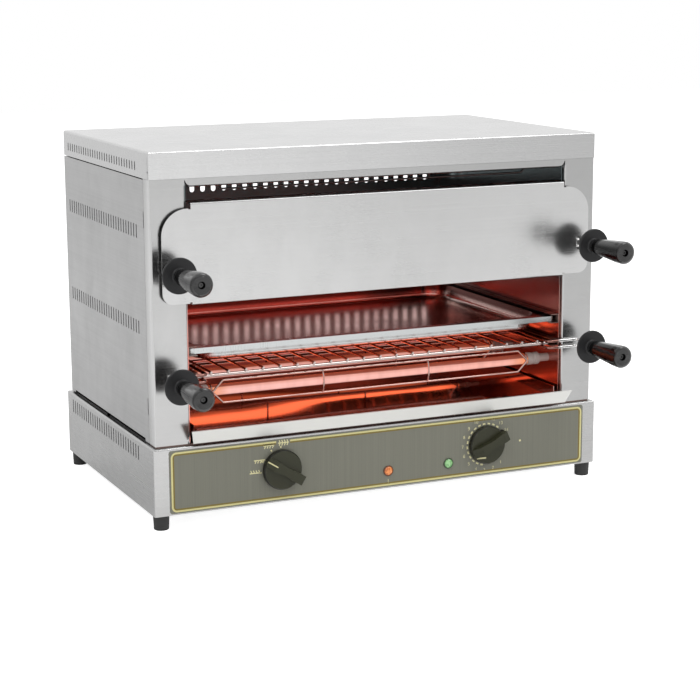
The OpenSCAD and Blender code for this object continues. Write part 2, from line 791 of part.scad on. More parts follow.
// knob with a raised grip bar: pointer end within the disc, squared tail beyond it
module knob(x, turn)
    translate([x, plate_front - knob_gap, knob_z]) rotate([90, 0, 0]) rotate([0, 0, turn])
        difference() {
            union() {
                rotate_extrude() polygon([[0, 0], [knob_d / 2, 0], [knob_d / 2, 5.2], [knob_d / 2 - 1.6, 7],
                                          [0, 7.4]]);
                intersection() {
                    linear_extrude(knob_h) difference() {
                        union() {
                            translate([-29.5 * knob_d / 52, -6.5]) square([30 * knob_d / 52, 13]);
                            intersection() {
                                translate([0, -6.5]) square([knob_d, 13]);
                                circle(d = knob_d - 1);
                            }
                        }
                        for (s = [-1, 1]) translate([-4, s * 84]) circle(r = 78.5);
                    }
                    // the bar falls away at both ends
                    translate([0, 8, 0]) rotate([90, 0, 0]) linear_extrude(16)
                        polygon([[-40, -1], [-40, knob_h - 3], [-24, knob_h], [14, knob_h],
                                 [knob_d / 2 - 2, 8.5], [knob_d / 2 + 4, 8.5], [knob_d / 2 + 4, -1]]);
                }
            }
            translate([0, 0, -1]) cylinder(r = 10, h = nut_t + 4);
            translate([0, 0, -1]) cylinder(r = shaft_r + 0.02, h = knob_h - 2);
            translate([knob_d / 2 - 14, -0.9, 6.9]) cube([20, 1.8, 10]);
        }

module selector_knob() color(dark_plastic) placed() knob(-knob_x, selector_turn);
module timer_knob() color(dark_plastic) placed() knob(knob_x, timer_turn);

module shaft(x, depth) rod_y(x, plate_front - knob_gap - (knob_h - 3.1), front_y + outer_t + depth, knob_z, 2 * shaft_r);

module selector_shaft() color(bright_steel) placed() shaft(-knob_x, 38);
module timer_shaft() color(bright_steel) placed() shaft(knob_x, 26);

// ---- racks ------------------------------------------------------------------

// a wire bent to a rectangle with round corners
module wire_loop(x, y0, y1, z, r, d) {
    rod_x(-x + r, x - r, y0, z, d);
    rod_x(-x + r, x - r, y1, z, d);
    both_sides() {
        rod_y(x, y0 + r, y1 - r, z, d);
        translate([x - r, y1 - r, z]) rotate_extrude(angle = 90) translate([r, 0]) circle(d = d);
        translate([x - r, y0 + r, z]) rotate([0, 0, -90]) rotate_extrude(angle = 90)
            translate([r, 0]) circle(d = d);
    }
}

module rack_frame(z) {
    wire_loop(rack_x, rack_front, rack_back, z, 9, frame_wire_d);
    for (y = [-0.22, 0.3] * body_d)
        rod_x(-rack_x, rack_x, y, z, frame_wire_d - 0.6);
}

module rack_bars(z)
    for (i = [1 : bar_n])
        rod_y(-rack_x + i * bar_pitch, rack_front - 3, rack_back + 3, z + bar_rise, bar_wire_d);

// a pair of wires from the rack's front bar, round the post and out to the grip
module handle_wires(z) both_sides() for (s = [-1, 1]) {
    zw = z + s * handle_split;
    d = handle_wire_d;
    b = handle_bend;
    rod_y(handle_in, handle_plane + b, rack_front + 45, zw, d);
    translate([handle_in + b, handle_plane + b, zw]) rotate([0, 0, 180])
        rotate_extrude(angle = 90) translate([b, 0]) circle(d = d);
    rod_x(handle_in + b, handle_x - b, handle_plane, zw, d);
    translate([handle_x - b, handle_plane - b, zw])
        rotate_extrude(angle = 90) translate([b, 0]) circle(d = d);
    rod_y(handle_x, grip_back - socket_depth + 1, handle_plane - b, zw, d);
}

// along the handle's axis, from the disc's back towards the user
module at_handles(z) both_sides() translate([handle_x, disc_back, z]) rotate([90, 0, 0]) children();

module wire_sockets(depth)
    for (s = [-1, 1]) translate([0, s * handle_split, -1]) cylinder(r = socket_r, h = depth + 1);

module heat_discs(z) at_handles(z) difference() {
    rotate_extrude() polygon([[0, 0], [disc_d / 2 - 1, 0], [disc_d / 2, 1], [disc_d / 2, disc_t - 1.2],
                              [disc_d / 2 - 1.2, disc_t], [hub_d / 2 + 1.5, disc_t],
                              [hub_d / 2, disc_t + 1.5], [hub_d / 2, disc_t + hub_len], [0, disc_t + hub_len]]);
    wire_sockets(disc_t + hub_len + 1);
}

// grip: slim at its neck, swelling to the end, with a dished end face
module grips(z) at_handles(z) translate([0, 0, disc_t + hub_len]) difference() {
    edge = 4;
    dish = 1.5;
    dish_r = grip_d / 2 - edge;
    dish_ball = (dish_r * dish_r + dish * dish) / (2 * dish);
    neck_r = grip_neck_d / 2;
    end_r = grip_d / 2;
    rotate_extrude() difference() {
        union() {
            polygon([[0, 0], [neck_r - 1, 0], [neck_r, 1], [neck_r + 1.4, 14], [end_r - 1.2, grip_len * 0.62],
                     [end_r, grip_len - 12], [end_r, grip_len - edge], [end_r - edge, grip_len - edge],
                     [end_r - edge, grip_len], [0, grip_len]]);
            translate([end_r - edge, grip_len - edge]) circle(r = edge);
        }
        translate([0, grip_len + dish_ball - dish]) circle(r = dish_ball);
        translate([-100, -1]) square([100, grip_len + 100]);
    }
    wire_sockets(socket_depth);
    translate([0, 0, grip_len - 7]) cylinder(r = 4.6, h = 10);
}

module grip_screws(z) at_handles(z) translate([0, 0, disc_t + hub_len + grip_len - 7])
    rotate_extrude() polygon([[0, 0], [4.4, 0], [4.4, 1.6], [3, 2.8], [1.2, 2.8], [1.2, 1.8], [0, 1.8]]);

module lower_rack_frame() color(bright_steel) placed() rack_frame(rack_low_z);
module lower_rack_bars() color(bright_steel) placed() rack_bars(rack_low_z);
module lower_handle_wires() color(bright_steel) placed() handle_wires(rack_low_z);
module lower_heat_discs() color(dark_plastic) placed() heat_discs(rack_low_z);
module lower_grips() color(dark_plastic) placed() grips(rack_low_z);
module lower_grip_screws() color(dark_plastic) placed() grip_screws(rack_low_z);
module upper_rack_frame() color(bright_steel) placed() rack_frame(rack_high_z);
module upper_rack_bars() color(bright_steel) placed() rack_bars(rack_high_z);
module upper_handle_wires() color(bright_steel) placed() handle_wires(rack_high_z);
module upper_heat_discs() color(dark_plastic) placed() heat_discs(rack_high_z);
module upper_grips() color(dark_plastic) placed() grips(rack_high_z);
module upper_grip_screws() color(dark_plastic) placed() grip_screws(rack_high_z);

// ---- shield -----------------------------------------------------------------

module ear_outline() {
    ear_x = shield_mid_x - 1;
    low = shield_low + ear_step_low;
    high = shield_high - ear_step_top;
    difference() {
        translate([ear_x, low]) square([shield_w / 2 - ear_x, high - low]);
        translate([shield_w / 2, high]) rotate(180) corner_cut(ear_top_r);
        translate([shield_w / 2, low]) mirror([1, 0]) corner_cut(ear_low_r);
        // slot for the handle wires, wide enough for their bend
        translate([handle_x - handle_bend / 3, rack_high_z])
            slot_shape(handle_slot_w, 2 * handle_split + handle_slot_w);
    }
}

module shield_panel() color(steel) placed() {
    difference() {
        union() {
            translate([-shield_mid_x, shield_front, shield_low]) rotate([90, 0, 90])
                linear_extrude(2 * shield_mid_x)
                    folded_c(shield_h, shield_flange, shield_top_flange, outer_t, fold_r);
            both_sides() upright_xz(shield_front, outer_t) ear_outline();
        }
        // relief notches where the flanges end
        both_sides() translate([shield_mid_x - 1.5, shield_front - 1, 0]) {
            translate([0, 0, shield_low - 1]) cube([3, shield_flange + 3, ear_step_low + 2.5]);
            translate([0, 0, shield_high - ear_step_top - 1]) cube([3, shield_top_flange + 3, ear_step_top + 2]);
        }
    }
}

// clips behind the shield that hook over the rack's front bar
module shield_clips() color(steel) placed() {
    lift = rack_high_z + frame_wire_d / 2 + 0.1;
    clip_t = 1.5;
    clip_x = bar_pitch * 8.5;
    back = rack_front + frame_wire_d / 2;
    both_sides() translate([clip_x - 6, 0, 0]) rotate([90, 0, 90]) linear_extrude(12) {
        translate([shield_front + outer_t, lift]) square([back + clip_t + 0.3 - shield_front - outer_t, clip_t]);
        translate([shield_front + outer_t, lift - 12]) square([clip_t, 12 + clip_t / 2]);
        translate([back + 0.3, lift - 5]) square([clip_t, 5 + clip_t / 2]);
    }
}

// ---- pan and crumb tray -----------------------------------------------------

// a section carried round a rectangle; the section's x runs outwards from the corner line
module carried_round(x, y, r) {
    both_sides() for (m = [0, 1]) mirror([0, m, 0])
        translate([x - r, y - r, 0]) rotate_extrude(angle = 90) translate([r, 0]) children();
    both_sides() translate([x, y - r, 0]) rotate([90, 0, 0]) linear_extrude(2 * (y - r)) children();
    for (m = [0, 1]) mirror([0, m, 0]) translate([-(x - r), y, 0]) rotate([90, 0, 90])
        linear_extrude(2 * (x - r)) children();
}

// sloping wall and rounded foot of the pan, drawn from the basin's edge
module pan_section() {
    t = pan_t;
    f = pan_fillet;
    polygon([[0, 0], [t, 0], [t - pan_wall + 1, -pan_depth + f], [-pan_wall + 1, -pan_depth + f]]);
    intersection() {
        translate([-pan_wall - f + 1 + t, -pan_depth]) square([f, f]);
        translate([-pan_wall - f + 1 + t, -pan_depth + f]) difference() {
            circle(r = f);
            circle(r = f - t);
        }
    }
}

// basin with round corners in a flat rim, whose edge is folded down
module pan() color(bright_steel) placed() {
    basin_x = pan_x - pan_rim;
    basin_y = pan_len / 2 - pan_rim;
    floor_in = pan_wall + pan_fillet - 1 - pan_t;
    translate([0, pan_front + pan_len / 2, pan_z]) {
        carried_round(basin_x, basin_y, pan_corner_r) pan_section();
        translate([0, 0, -pan_t]) linear_extrude(pan_t) difference() {
            round_rect(2 * pan_x, pan_len, pan_outer_r);
            round_rect(2 * basin_x, 2 * basin_y, pan_corner_r);
        }
        carried_round(pan_x, pan_len / 2, pan_outer_r) translate([-pan_t, -pan_hem]) square([pan_t, pan_hem]);
        translate([0, 0, -pan_depth]) linear_extrude(pan_t)
            round_rect(2 * (basin_x - floor_in), 2 * (basin_y - floor_in), pan_corner_r - floor_in);
    }
}

// tray: raised floor with low sides behind a leaning front
module crumb_tray() color(bright_steel) placed() {
    lip_low = base_top + tray_gap;
    floor_low = tray_z - inner_t;
    floor_front = tray_foot_y - (floor_low - lip_low) * tan(tray_lean) + 1;
    half_top = opening_x + 5;
    half_low = opening_x;
    translate([-tray_x, floor_front, floor_low]) cube([2 * tray_x, tray_back - floor_front, inner_t]);
    both_sides() translate([tray_x - inner_t, -body_y + 6, floor_low + inner_t / 2])
        cube([inner_t, tray_back + body_y - 6, tray_side]);
    translate([-tray_x, tray_back - inner_t, floor_low + inner_t / 2])
        cube([2 * tray_x, inner_t, tray_side]);
    translate([0, tray_foot_y, lip_low]) rotate([90 + tray_lean, 0, 0])
        translate([0, 0, -outer_t]) linear_extrude(outer_t)
            polygon([[-half_low, 0], [half_low, 0], [half_top, tray_plate_len], [-half_top, tray_plate_len]]);
}

// ---- nodes ------------------------------------------------------------------

base_housing();
base_bottom_plate();
control_plate();
feet();
foot_screws();
cavity_floor();
front_fascia();
left_side_panel();
right_side_panel();
rear_panel();
lid();
left_liner();
right_liner();
top_reflector();
left_runners();
right_runners();
tray_rails();
bottom_tubes();
middle_tubes();
top_tubes();
bottom_tube_caps();
middle_tube_caps();
top_tube_caps();
bottom_heating_coils();
middle_heating_coils();
top_heating_coils();
bottom_tube_guards();
middle_tube_guards();
top_tube_guards();
selector_switch();
timer_movement();
control_nuts();
orange_lamp();
green_lamp();
lamp_bezels();
terminal_block();
cable_gland();
rear_screws();
selector_knob();
selector_shaft();
timer_knob();
timer_shaft();
lower_rack_frame();
lower_rack_bars();
lower_handle_wires();
lower_heat_discs();
lower_grips();
lower_grip_screws();
upper_rack_frame();
upper_rack_bars();
upper_handle_wires();
upper_heat_discs();
upper_grips();
upper_grip_screws();
shield_panel();
shield_clips();
pan();
crumb_tray();
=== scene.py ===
import bpy
import math
import numpy as np
from mathutils import Matrix, Vector


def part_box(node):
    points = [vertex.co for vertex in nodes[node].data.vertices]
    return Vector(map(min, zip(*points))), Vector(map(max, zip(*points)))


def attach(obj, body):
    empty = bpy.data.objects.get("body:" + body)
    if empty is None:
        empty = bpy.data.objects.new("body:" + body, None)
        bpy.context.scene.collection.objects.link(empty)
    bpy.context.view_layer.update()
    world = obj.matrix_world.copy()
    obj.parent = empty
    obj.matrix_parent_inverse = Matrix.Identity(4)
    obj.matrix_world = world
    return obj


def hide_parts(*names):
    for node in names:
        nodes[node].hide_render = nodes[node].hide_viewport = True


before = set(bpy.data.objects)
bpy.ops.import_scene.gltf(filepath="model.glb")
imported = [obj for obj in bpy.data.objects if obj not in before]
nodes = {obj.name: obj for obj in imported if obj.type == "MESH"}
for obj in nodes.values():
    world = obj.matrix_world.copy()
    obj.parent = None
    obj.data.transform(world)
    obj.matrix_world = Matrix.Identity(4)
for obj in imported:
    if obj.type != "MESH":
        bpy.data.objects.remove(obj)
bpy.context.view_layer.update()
scene = bpy.context.scene
print("stage: the packed machine is loaded with", len(nodes), "nodes")

# the machine's main places in metres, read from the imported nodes
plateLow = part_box("control_plate")[0]
layout = {
    "caseMiddleY": (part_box("lid")[0].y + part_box("lid")[1].y) / 2,
    "plateFront": plateLow.y,
    "selector": (-0.149, 0.063),
    "timer": (0.149, 0.063),
    "knobBase": plateLow.y - 0.001,
    "tubeLevels": [(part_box(n)[0].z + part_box(n)[1].z) / 2
                   for n in ("bottom_tubes", "middle_tubes", "top_tubes")],
    "tubePitch": 0.099,
    "tubeEnd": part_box("bottom_tubes")[1].x,
    "trayEdge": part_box("lid")[0].y - 0.012,
    "caseBack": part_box("lid")[1].y,
}


def newObject(name, data):
    made = bpy.data.objects.new(name, data)
    scene.collection.objects.link(made)
    return made


cameraValues = {
    "place": (-1.0326, -2.29675, 0.6868),
    "turn": 24.51,
    "tilt": 11.40,
    "roll": 0.24,
    "lens": 96.29,
    "sensor": 36.0,
}


# the camera looks along +Y, is tilted down, then turned towards +X, and rolled about its own axis
def makeCamera(values):
    turn, tilt, roll = (math.radians(values[k]) for k in ("turn", "tilt", "roll"))
    data = bpy.data.cameras.new("studioCamera")
    data.lens, data.sensor_width = values["lens"], values["sensor"]
    data.clip_start, data.clip_end = 0.05, 60
    camera = newObject("studioCamera", data)
    camera.matrix_world = (
        Matrix.Translation(values["place"])
        @ Matrix.Rotation(-turn, 4, "Z")
        @ Matrix.Rotation(math.pi / 2 - tilt, 4, "X")
        @ Matrix.Rotation(-roll, 4, "Z")
    )
    scene.camera = camera


# a node's input takes a number, a vector, a colour of three numbers, or a link from another socket
def setInput(socket, value):
    if isinstance(value, bpy.types.NodeSocket):
        socket.id_data.links.new(value, socket)
    else:
        socket.default_value = (*value, 1) if socket.type == "RGBA" else value


def newNode(tree, kind, settings=None, inputs=None):
    made = tree.nodes.new(kind)
    for key, value in (settings or {}).items():
        setattr(made, key, value)
    for key, value in (inputs or {}).items():
        setInput(made.inputs[key], value)
    return made


# a node in the same tree as the first socket among its inputs
def nodeAfter(kind, settings, inputs):
    tree = next(value.id_data for value in inputs.values() if isinstance(value, bpy.types.NodeSocket))
    return newNode(tree, kind, settings, inputs)


# a value carried from one range into another and held at its ends, evenly or with soft ends
def mapped(value, low, high, toLow=0.0, toHigh=1.0, smooth=False):
    ranges = {"From Min": low, "From Max": high, "To Min": toLow, "To Max": toHigh}
    made = nodeAfter("ShaderNodeMapRange", {"interpolation_type": "SMOOTHSTEP" if smooth else "LINEAR"},
                     {"Value": value, **ranges})
    return made.outputs["Result"]


def combine(operation, *values):
    return nodeAfter("ShaderNodeMath", {"operation": operation}, dict(enumerate(values))).outputs[0]


def times(first, second):
    return combine("MULTIPLY", first, second)


def sumOfSquares(first, second):
    return combine("ADD", times(first, first), times(second, second))


def mixColours(factor, first, second, blend="MIX"):
    made = nodeAfter("ShaderNodeMix", {"data_type": "RGBA", "blend_type": blend},
                     {0: factor, 6: first, 7: second})
    return made.outputs[2]


# a colour times a number
def dimmed(colour, value):
    grey = nodeAfter("ShaderNodeCombineColor", None, {"Red": value, "Green": value, "Blue": value})
    return mixColours(1.0, colour, grey.outputs[0], "MULTIPLY")


# a vector times a number
def scaled(vector, amount):
    return nodeAfter("ShaderNodeVectorMath", {"operation": "SCALE"}, {0: vector, "Scale": amount}).outputs[0]


# noise read at object coordinates times a stretch, so that it draws out into lines
def stretchedNoise(vector, stretch, detail, roughness=0.5, warp=0.0):
    scale = nodeAfter("ShaderNodeVectorMath", {"operation": "MULTIPLY"}, {0: vector, 1: stretch})
    noise = nodeAfter("ShaderNodeTexNoise", None,
                      {"Vector": scale.outputs[0], "Scale": 1.0, "Detail": detail,
                       "Roughness": roughness, "Distortion": warp})
    return noise.outputs["Fac"]


groups = {}


# a material with its Principled shader, object coordinates and a bump that feeds its normal
class surfaceFinish:
    def __init__(self, name, colour, metallic, roughness):
        self.material = bpy.data.materials.new(name)
        self.material.use_nodes = True
        self.tree = self.material.node_tree
        self.shader = self.tree.nodes["Principled BSDF"]
        self.put("Base Color", colour)
        self.put("Metallic", metallic)
        self.put("Roughness", roughness)
        self.place = newNode(self.tree, "ShaderNodeTexCoord").outputs["Object"]
        self.material.diffuse_color = (*colour, 1)

    def put(self, key, value):
        setInput(self.shader.inputs[key], value)

    # x, y or z of a vector, or its distance to the middle as "width"
    def axis(self, letter, vector=None):
        if letter == "width":
            return combine("ABSOLUTE", self.axis("X"))
        return nodeAfter("ShaderNodeSeparateXYZ", None, {0: vector or self.place}).outputs[letter]

    # how far the surface faces along an axis
    def slope(self, letter):
        return self.axis(letter, newNode(self.tree, "ShaderNodeNewGeometry").outputs["Normal"])

    def along(self, letter, low, high, toLow=0.0, toHigh=1.0, smooth=False):
        return mapped(self.axis(letter), low, high, toLow, toHigh, smooth)

    # colours laid over the first, each from one place to another along an axis, with soft ends or not
    def zoned(self, colour, zones):
        for letter, start, end, smooth, tone in zones:
            colour = mixColours(self.along(letter, start, end, smooth=smooth), colour, tone)
        return colour

    def group(self, name, inputs):
        return newNode(self.tree, "ShaderNodeGroup", {"node_tree": groups[name]},
                       {"Vector": self.place, **inputs}).outputs

    def heat(self, values):
        return self.group("heatColour", {key: values[key.lower()]
                                         for key in ("Clean", "Straw", "Brown", "Amount")})

    # the roughness goes from one number to the other with the mask, and the brush lines stir it
    def roughen(self, mask, low, high, lines=None, spread=0.0):
        level = mapped(mask, 0.0, 1.0, low, high)
        if lines:
            level = combine("ADD", level, mapped(lines, 0.3, 0.7, -spread, spread))
        self.put("Roughness", level)

    def bump(self, height, distance, under=None):
        inputs = {"Height": height, "Distance": distance, "Strength": 1.0}
        if under:
            inputs["Normal"] = under
        normal = nodeAfter("ShaderNodeBump", None, inputs).outputs["Normal"]
        self.put("Normal", normal)
        return normal


worldValues = {"fill": 0.68, "seen": 1.0}


# the world is white for rays from the camera, off glossy surfaces and through glass, and a plain grey
# fill elsewhere
def makeWorld(values):
    world = bpy.data.worlds.new("studioWorld")
    scene.world = world
    world.use_nodes = True
    tree = world.node_tree
    tree.nodes.clear()
    path = newNode(tree, "ShaderNodeLightPath").outputs
    seen = combine("MAXIMUM", path["Is Transmission Ray"],
                   combine("MAXIMUM", path["Is Camera Ray"], path["Is Glossy Ray"]))
    grey, white = (newNode(tree, "ShaderNodeBackground", None, {"Color": (1, 1, 1), "Strength": values[key]})
                   for key in ("fill", "seen"))
    mix = newNode(tree, "ShaderNodeMixShader", None,
                  {"Fac": seen, 1: grey.outputs[0], 2: white.outputs[0]})
    newNode(tree, "ShaderNodeOutputWorld", None, {"Surface": mix.outputs[0]})


floorValues = {"size": 14.0, "colour": (0.93, 0.93, 0.93), "roughness": 0.75, "seenLift": 0.78,
               "mirrorLift": 0.50, "behindLeft": 0.34, "besideLeft": 0.15, "frontRight": 0.33,
               "leftX": (-0.15, -0.36), "leftY": (-0.3, 0.0), "behindY": (0.3, 1.8),
               "rightX": (-0.56, 0.44), "rightY": (-0.1, -0.3), "slant": 0.48}


# a level square under the feet; a little of it shines by itself where it is seen, so it stays white.
# mirrored in the metal it shines less behind on the left, least close to the machine, and less in
# front on the right
def makeFloor(values):
    paint = surfaceFinish("studioFloor", values["colour"], 0.0, values["roughness"])
    left = times(paint.along("X", *values["leftX"], smooth=True),
                 paint.along("Y", *values["leftY"], smooth=True))
    behind = paint.along("Y", *values["behindY"], values["behindLeft"] + values["besideLeft"],
                         values["behindLeft"], True)
    aslant = combine("MULTIPLY_ADD", paint.axis("Y"), values["slant"], paint.axis("X"))
    right = times(paint.along("Y", *values["rightY"], 0.0, values["frontRight"], True),
                  mapped(aslant, *values["rightX"], smooth=True))
    mirrored = combine("SUBTRACT", values["mirrorLift"],
                       combine("MULTIPLY_ADD", left, behind, right))
    path = newNode(paint.tree, "ShaderNodeLightPath").outputs
    direct = combine("MAXIMUM", path["Is Camera Ray"], path["Is Transmission Ray"])
    paint.put("Emission Strength", combine("MAXIMUM", times(direct, values["seenLift"]),
                                           times(path["Is Glossy Ray"], mirrored)))
    paint.put("Emission Color", (1, 1, 1))
    paint.put("Specular IOR Level", 0.0)
    half = values["size"] / 2
    mesh = bpy.data.meshes.new("studioFloor")
    mesh.from_pydata([(-half, -half, 0), (half, -half, 0), (half, half, 0), (-half, half, 0)], [],
                     [(0, 1, 2, 3)])
    mesh.materials.append(paint.material)
    floor = newObject("studioFloor", mesh)


lampValues = {
    "keySoftbox": {"place": (1.3, -1.6, 2.7), "size": (1.2, 1.2), "power": 24},
    "leftSoftbox": {"place": (-1.8, -1.3, 2.4), "size": (0.9, 1.4), "power": 8},
    "topSoftbox": {"place": (0.1, 0.5, 2.6), "size": (3.0, 2.2), "power": 10},
}


# each lamp is a rectangle that looks at the middle of the machine
def makeLamps(values):
    middle = Vector((0, 0, 0.25))
    for name, lamp in values.items():
        data = bpy.data.lights.new(name, "AREA")
        data.shape = "RECTANGLE"
        data.size, data.size_y = lamp["size"]
        data.energy = lamp["power"]
        thing = newObject(name, data)
        thing.location = lamp["place"]
        thing.rotation_mode = "QUATERNION"
        thing.rotation_quaternion = (middle - Vector(lamp["place"])).to_track_quat("-Z", "Y")


scene.view_settings.view_transform = "Standard"
makeCamera(cameraValues)
makeWorld(worldValues)
makeFloor(floorValues)
makeLamps(lampValues)
print("stage: camera, floor and lamps are set")


# a shader group with named inputs and outputs, each a kind of socket; its users set every input
def startGroup(name, inputs, outputs):
    tree = groups[name] = bpy.data.node_groups.new(name, "ShaderNodeTree")
    for side, sockets in (("INPUT", inputs), ("OUTPUT", outputs)):
        for key, kind in sockets.items():
            tree.interface.new_socket(key, in_out=side, socket_type="NodeSocket" + kind)
    return tree.nodes.new("NodeGroupInput").outputs, tree.nodes.new("NodeGroupOutput").inputs


# fine brush lines, and bands three times as wide along the same direction; both lie about 0.5
def buildBrushLines():
    start, end = startGroup("brushLines", {"Vector": "Vector", "Stretch": "Vector"},
                            {"Height": "Float", "Shade": "Float"})
    fine = stretchedNoise(start["Vector"], start["Stretch"], 3.0, 0.7)
    wide = stretchedNoise(start["Vector"], scaled(start["Stretch"], 0.3), 2.0, 0.6)
    setInput(end["Height"], fine)
    setInput(end["Shade"], combine("MULTIPLY_ADD", fine, 0.7, times(wide, 0.3)))


# large soft patches, as a cloth leaves on steel: two sizes of noise multiplied
def buildWipeMarks():
    start, end = startGroup("wipeMarks", {"Vector": "Vector", "Size": "Float"}, {"Mask": "Float"})
    place = scaled(start["Vector"], start["Size"])
    soft = stretchedNoise(place, (1.0, 1.0, 0.6), 2.0, 0.5, 0.6)
    small = stretchedNoise(place, (4.0, 4.0, 2.5), 3.0, 0.6, 0.3)
    setInput(end["Mask"], mapped(times(soft, small), 0.12, 0.42))


# heat colours: straw and brown drift over the clean steel in patches
def buildHeatColour():
    start, end = startGroup(
        "heatColour", {"Vector": "Vector", "Clean": "Color", "Straw": "Color", "Brown": "Color",
                       "Amount": "Float"}, {"Color": "Color", "Mask": "Float"})
    patches = stretchedNoise(start["Vector"], (7.0, 7.0, 12.0), 4.0, 0.55, 0.8)
    spread = mapped(patches, 0.35, 0.68)
    mask = times(combine("MULTIPLY_ADD", spread, 0.5, 0.5), start["Amount"])
    tint = mixColours(spread, start["Straw"], start["Brown"])
    setInput(end["Color"], mixColours(mask, start["Clean"], tint))
    setInput(end["Mask"], mask)


# the fine skin of moulded plastic and rubber, with faint specks of dust
def buildMouldedSkin():
    start, end = startGroup("mouldedSkin", {"Vector": "Vector", "Grain": "Float"},
                            {"Height": "Float", "Dust": "Float"})
    place = scaled(start["Vector"], start["Grain"])
    setInput(end["Height"], stretchedNoise(place, (1.0, 1.0, 1.0), 2.0))
    dust = stretchedNoise(start["Vector"], (260.0, 260.0, 260.0), 5.0, 0.75)
    setInput(end["Dust"], mapped(dust, 0.58, 0.80))


buildBrushLines()
buildWipeMarks()
buildHeatColour()
buildMouldedSkin()
print("stage: shared effects are built:", ", ".join(groups))


wipeValues = {"size": 8.0, "shade": 0.96, "stir": 0.04}
fineBrush = {"stretch": (4.0, 4.0, 1400.0), "lines": 0.055, "depth": 0.000002}
# these are one brushed steel: the lid is painted lighter and the posts, sides and base darker, as painted
# light and shade; innerSteel is darker and redder, partly heat tone and partly painted shade and red glow. a
# fade is painted light that changes along x on a front face
steelValues = {
    "caseSteel": {"colour": (0.525, 0.525, 0.523), "roughness": (0.21, 0.28), **fineBrush,
                  "fade": (0.02, 0.26, 1.13), "fadeEdge": (-0.1345, -0.1365),
                  "flange": (0.4095, 0.4115, 0.42)},
    "postSteel": {"colour": (0.445, 0.445, 0.443), "roughness": (0.21, 0.28), **fineBrush,
                  "paintedLightFront": (-0.112, -0.134), "paintedLightSide": (0.3142, 0.3146, 0.52)},
    "baseSteel": {"colour": (0.470, 0.470, 0.468), "roughness": (0.24, 0.30), **fineBrush},
    "lidSteel": {"colour": (0.600, 0.600, 0.600), "roughness": (0.24, 0.31),
                 "stretch": (4.0, 1400.0, 1400.0), "lines": 0.05, "depth": 0.000002,
                 "fade": (-0.25, 0.30, 0.84), "fadeEdge": (-0.1345, -0.1365)},
    "sideSteel": {"colour": (0.445, 0.445, 0.445), "roughness": (0.30, 0.42),
                  "stretch": (4.0, 5.0, 1200.0), "lines": 0.13, "depth": 0.000005},
    "innerSteel": {"colour": (0.250, 0.170, 0.150), "roughness": (0.30, 0.45),
                   "stretch": (4.0, 4.0, 900.0), "lines": 0.15, "depth": 0.000005},
}

# inside the cavity the steel is painted dark as shade: blue-grey high up against the red light, dark brown
# between the racks, red-brown round the lowest tubes, partly heat tone and partly painted red glow; under the
# side walls it is painted black as shade
cavityHeatAndShade = {
    "halfWidth": 0.3143, "front": -0.1135, "back": 0.2268, "low": 0.1050, "high": 0.4396, "edge": 0.0008,
    "tone": (0.055, 0.115, 0.130),
    "zones": [("Z", 0.350, 0.366, True, (0.040, 0.135, 0.150)),     # the top
              ("Z", 0.30, 0.25, True, (0.075, 0.038, 0.034)),       # between the racks
              ("Z", 0.195, 0.175, True, (0.25, 0.115, 0.098))],     # round the lowest tubes
    "underWall": (0.3045, 0.3055), "underEdge": (0.121, 0.119), "underShade": (0.004, 0.004, 0.004),
}


# a number that is 1 inside the heated cavity and 0 on the outside of the sheets round it: the product
# of a step at each of its walls
def insideCavity(steel, values):
    edge = values["edge"]
    inside = steel.along("width", values["halfWidth"], values["halfWidth"] - edge)
    for letter, wall, inward in (("Y", "front", edge), ("Y", "back", -edge), ("Z", "low", edge),
                                 ("Z", "high", -edge)):
        inside = times(inside, steel.along(letter, values[wall], values[wall] + inward))
    return inside


# brushed sheet: brush lines shade the colour and roughen the surface, and wipe marks dull it in patches. a
# front may get painted light that changes along x, the shield's top flange a painted dark reflection, and the
# fascia's turned sides a painted highlight towards the front. inside the cavity the faces are toned by their
# height, partly heat tone and partly painted shade and red glow, blue-grey at the top against the red light,
# and under the side walls they are painted black as shade
def makeSteel(name, values):
    steel = surfaceFinish(name, values["colour"], 1.0, values["roughness"][0])
    lines = steel.group("brushLines", {"Stretch": values["stretch"]})
    marks = steel.group("wipeMarks", {"Size": wipeValues["size"]})["Mask"]
    shade = times(mapped(lines["Shade"], 0.25, 0.75, 1 - values["lines"], 1 + values["lines"]),
                  mapped(marks, 0.0, 1.0, 1.0, wipeValues["shade"]))
    # painted light: a front face is made lighter or darker along x
    if "fade" in values:
        left, right, far = values["fade"]
        change = times(steel.along("X", left, right, 0.0, far - 1.0, True),
                       steel.along("Y", *values["fadeEdge"]))
        shade = times(shade, combine("ADD", change, 1.0))
    # painted shade: the shield's top flange is darkened, a painted dark reflection
    if "flange" in values:
        low, high, level = values["flange"]
        shade = times(shade, steel.along("Z", low, high, 1.0, level))
    # painted highlight: the fascia's turned sides are made lighter towards the front
    if "paintedLightFront" in values:
        start, end, lift = values["paintedLightSide"]
        change = times(steel.along("width", start, end, 0.0, lift), steel.along("Y", *values["paintedLightFront"]))
        shade = times(shade, combine("ADD", change, 1.0))
    # painted shade: black under the side walls, and the cavity's painted shade and heat tone by height
    below = times(steel.along("width", *cavityHeatAndShade["underWall"]),
                  steel.along("Z", *cavityHeatAndShade["underEdge"]))
    tone = mixColours(below, steel.zoned(cavityHeatAndShade["tone"], cavityHeatAndShade["zones"]),
                      cavityHeatAndShade["underShade"])
    steel.put("Base Color", dimmed(mixColours(insideCavity(steel, cavityHeatAndShade),
                                              values["colour"], tone), shade))
    steel.roughen(marks, *values["roughness"], lines["Height"], wipeValues["stir"])
    steel.bump(lines["Height"], values["depth"])
    return steel


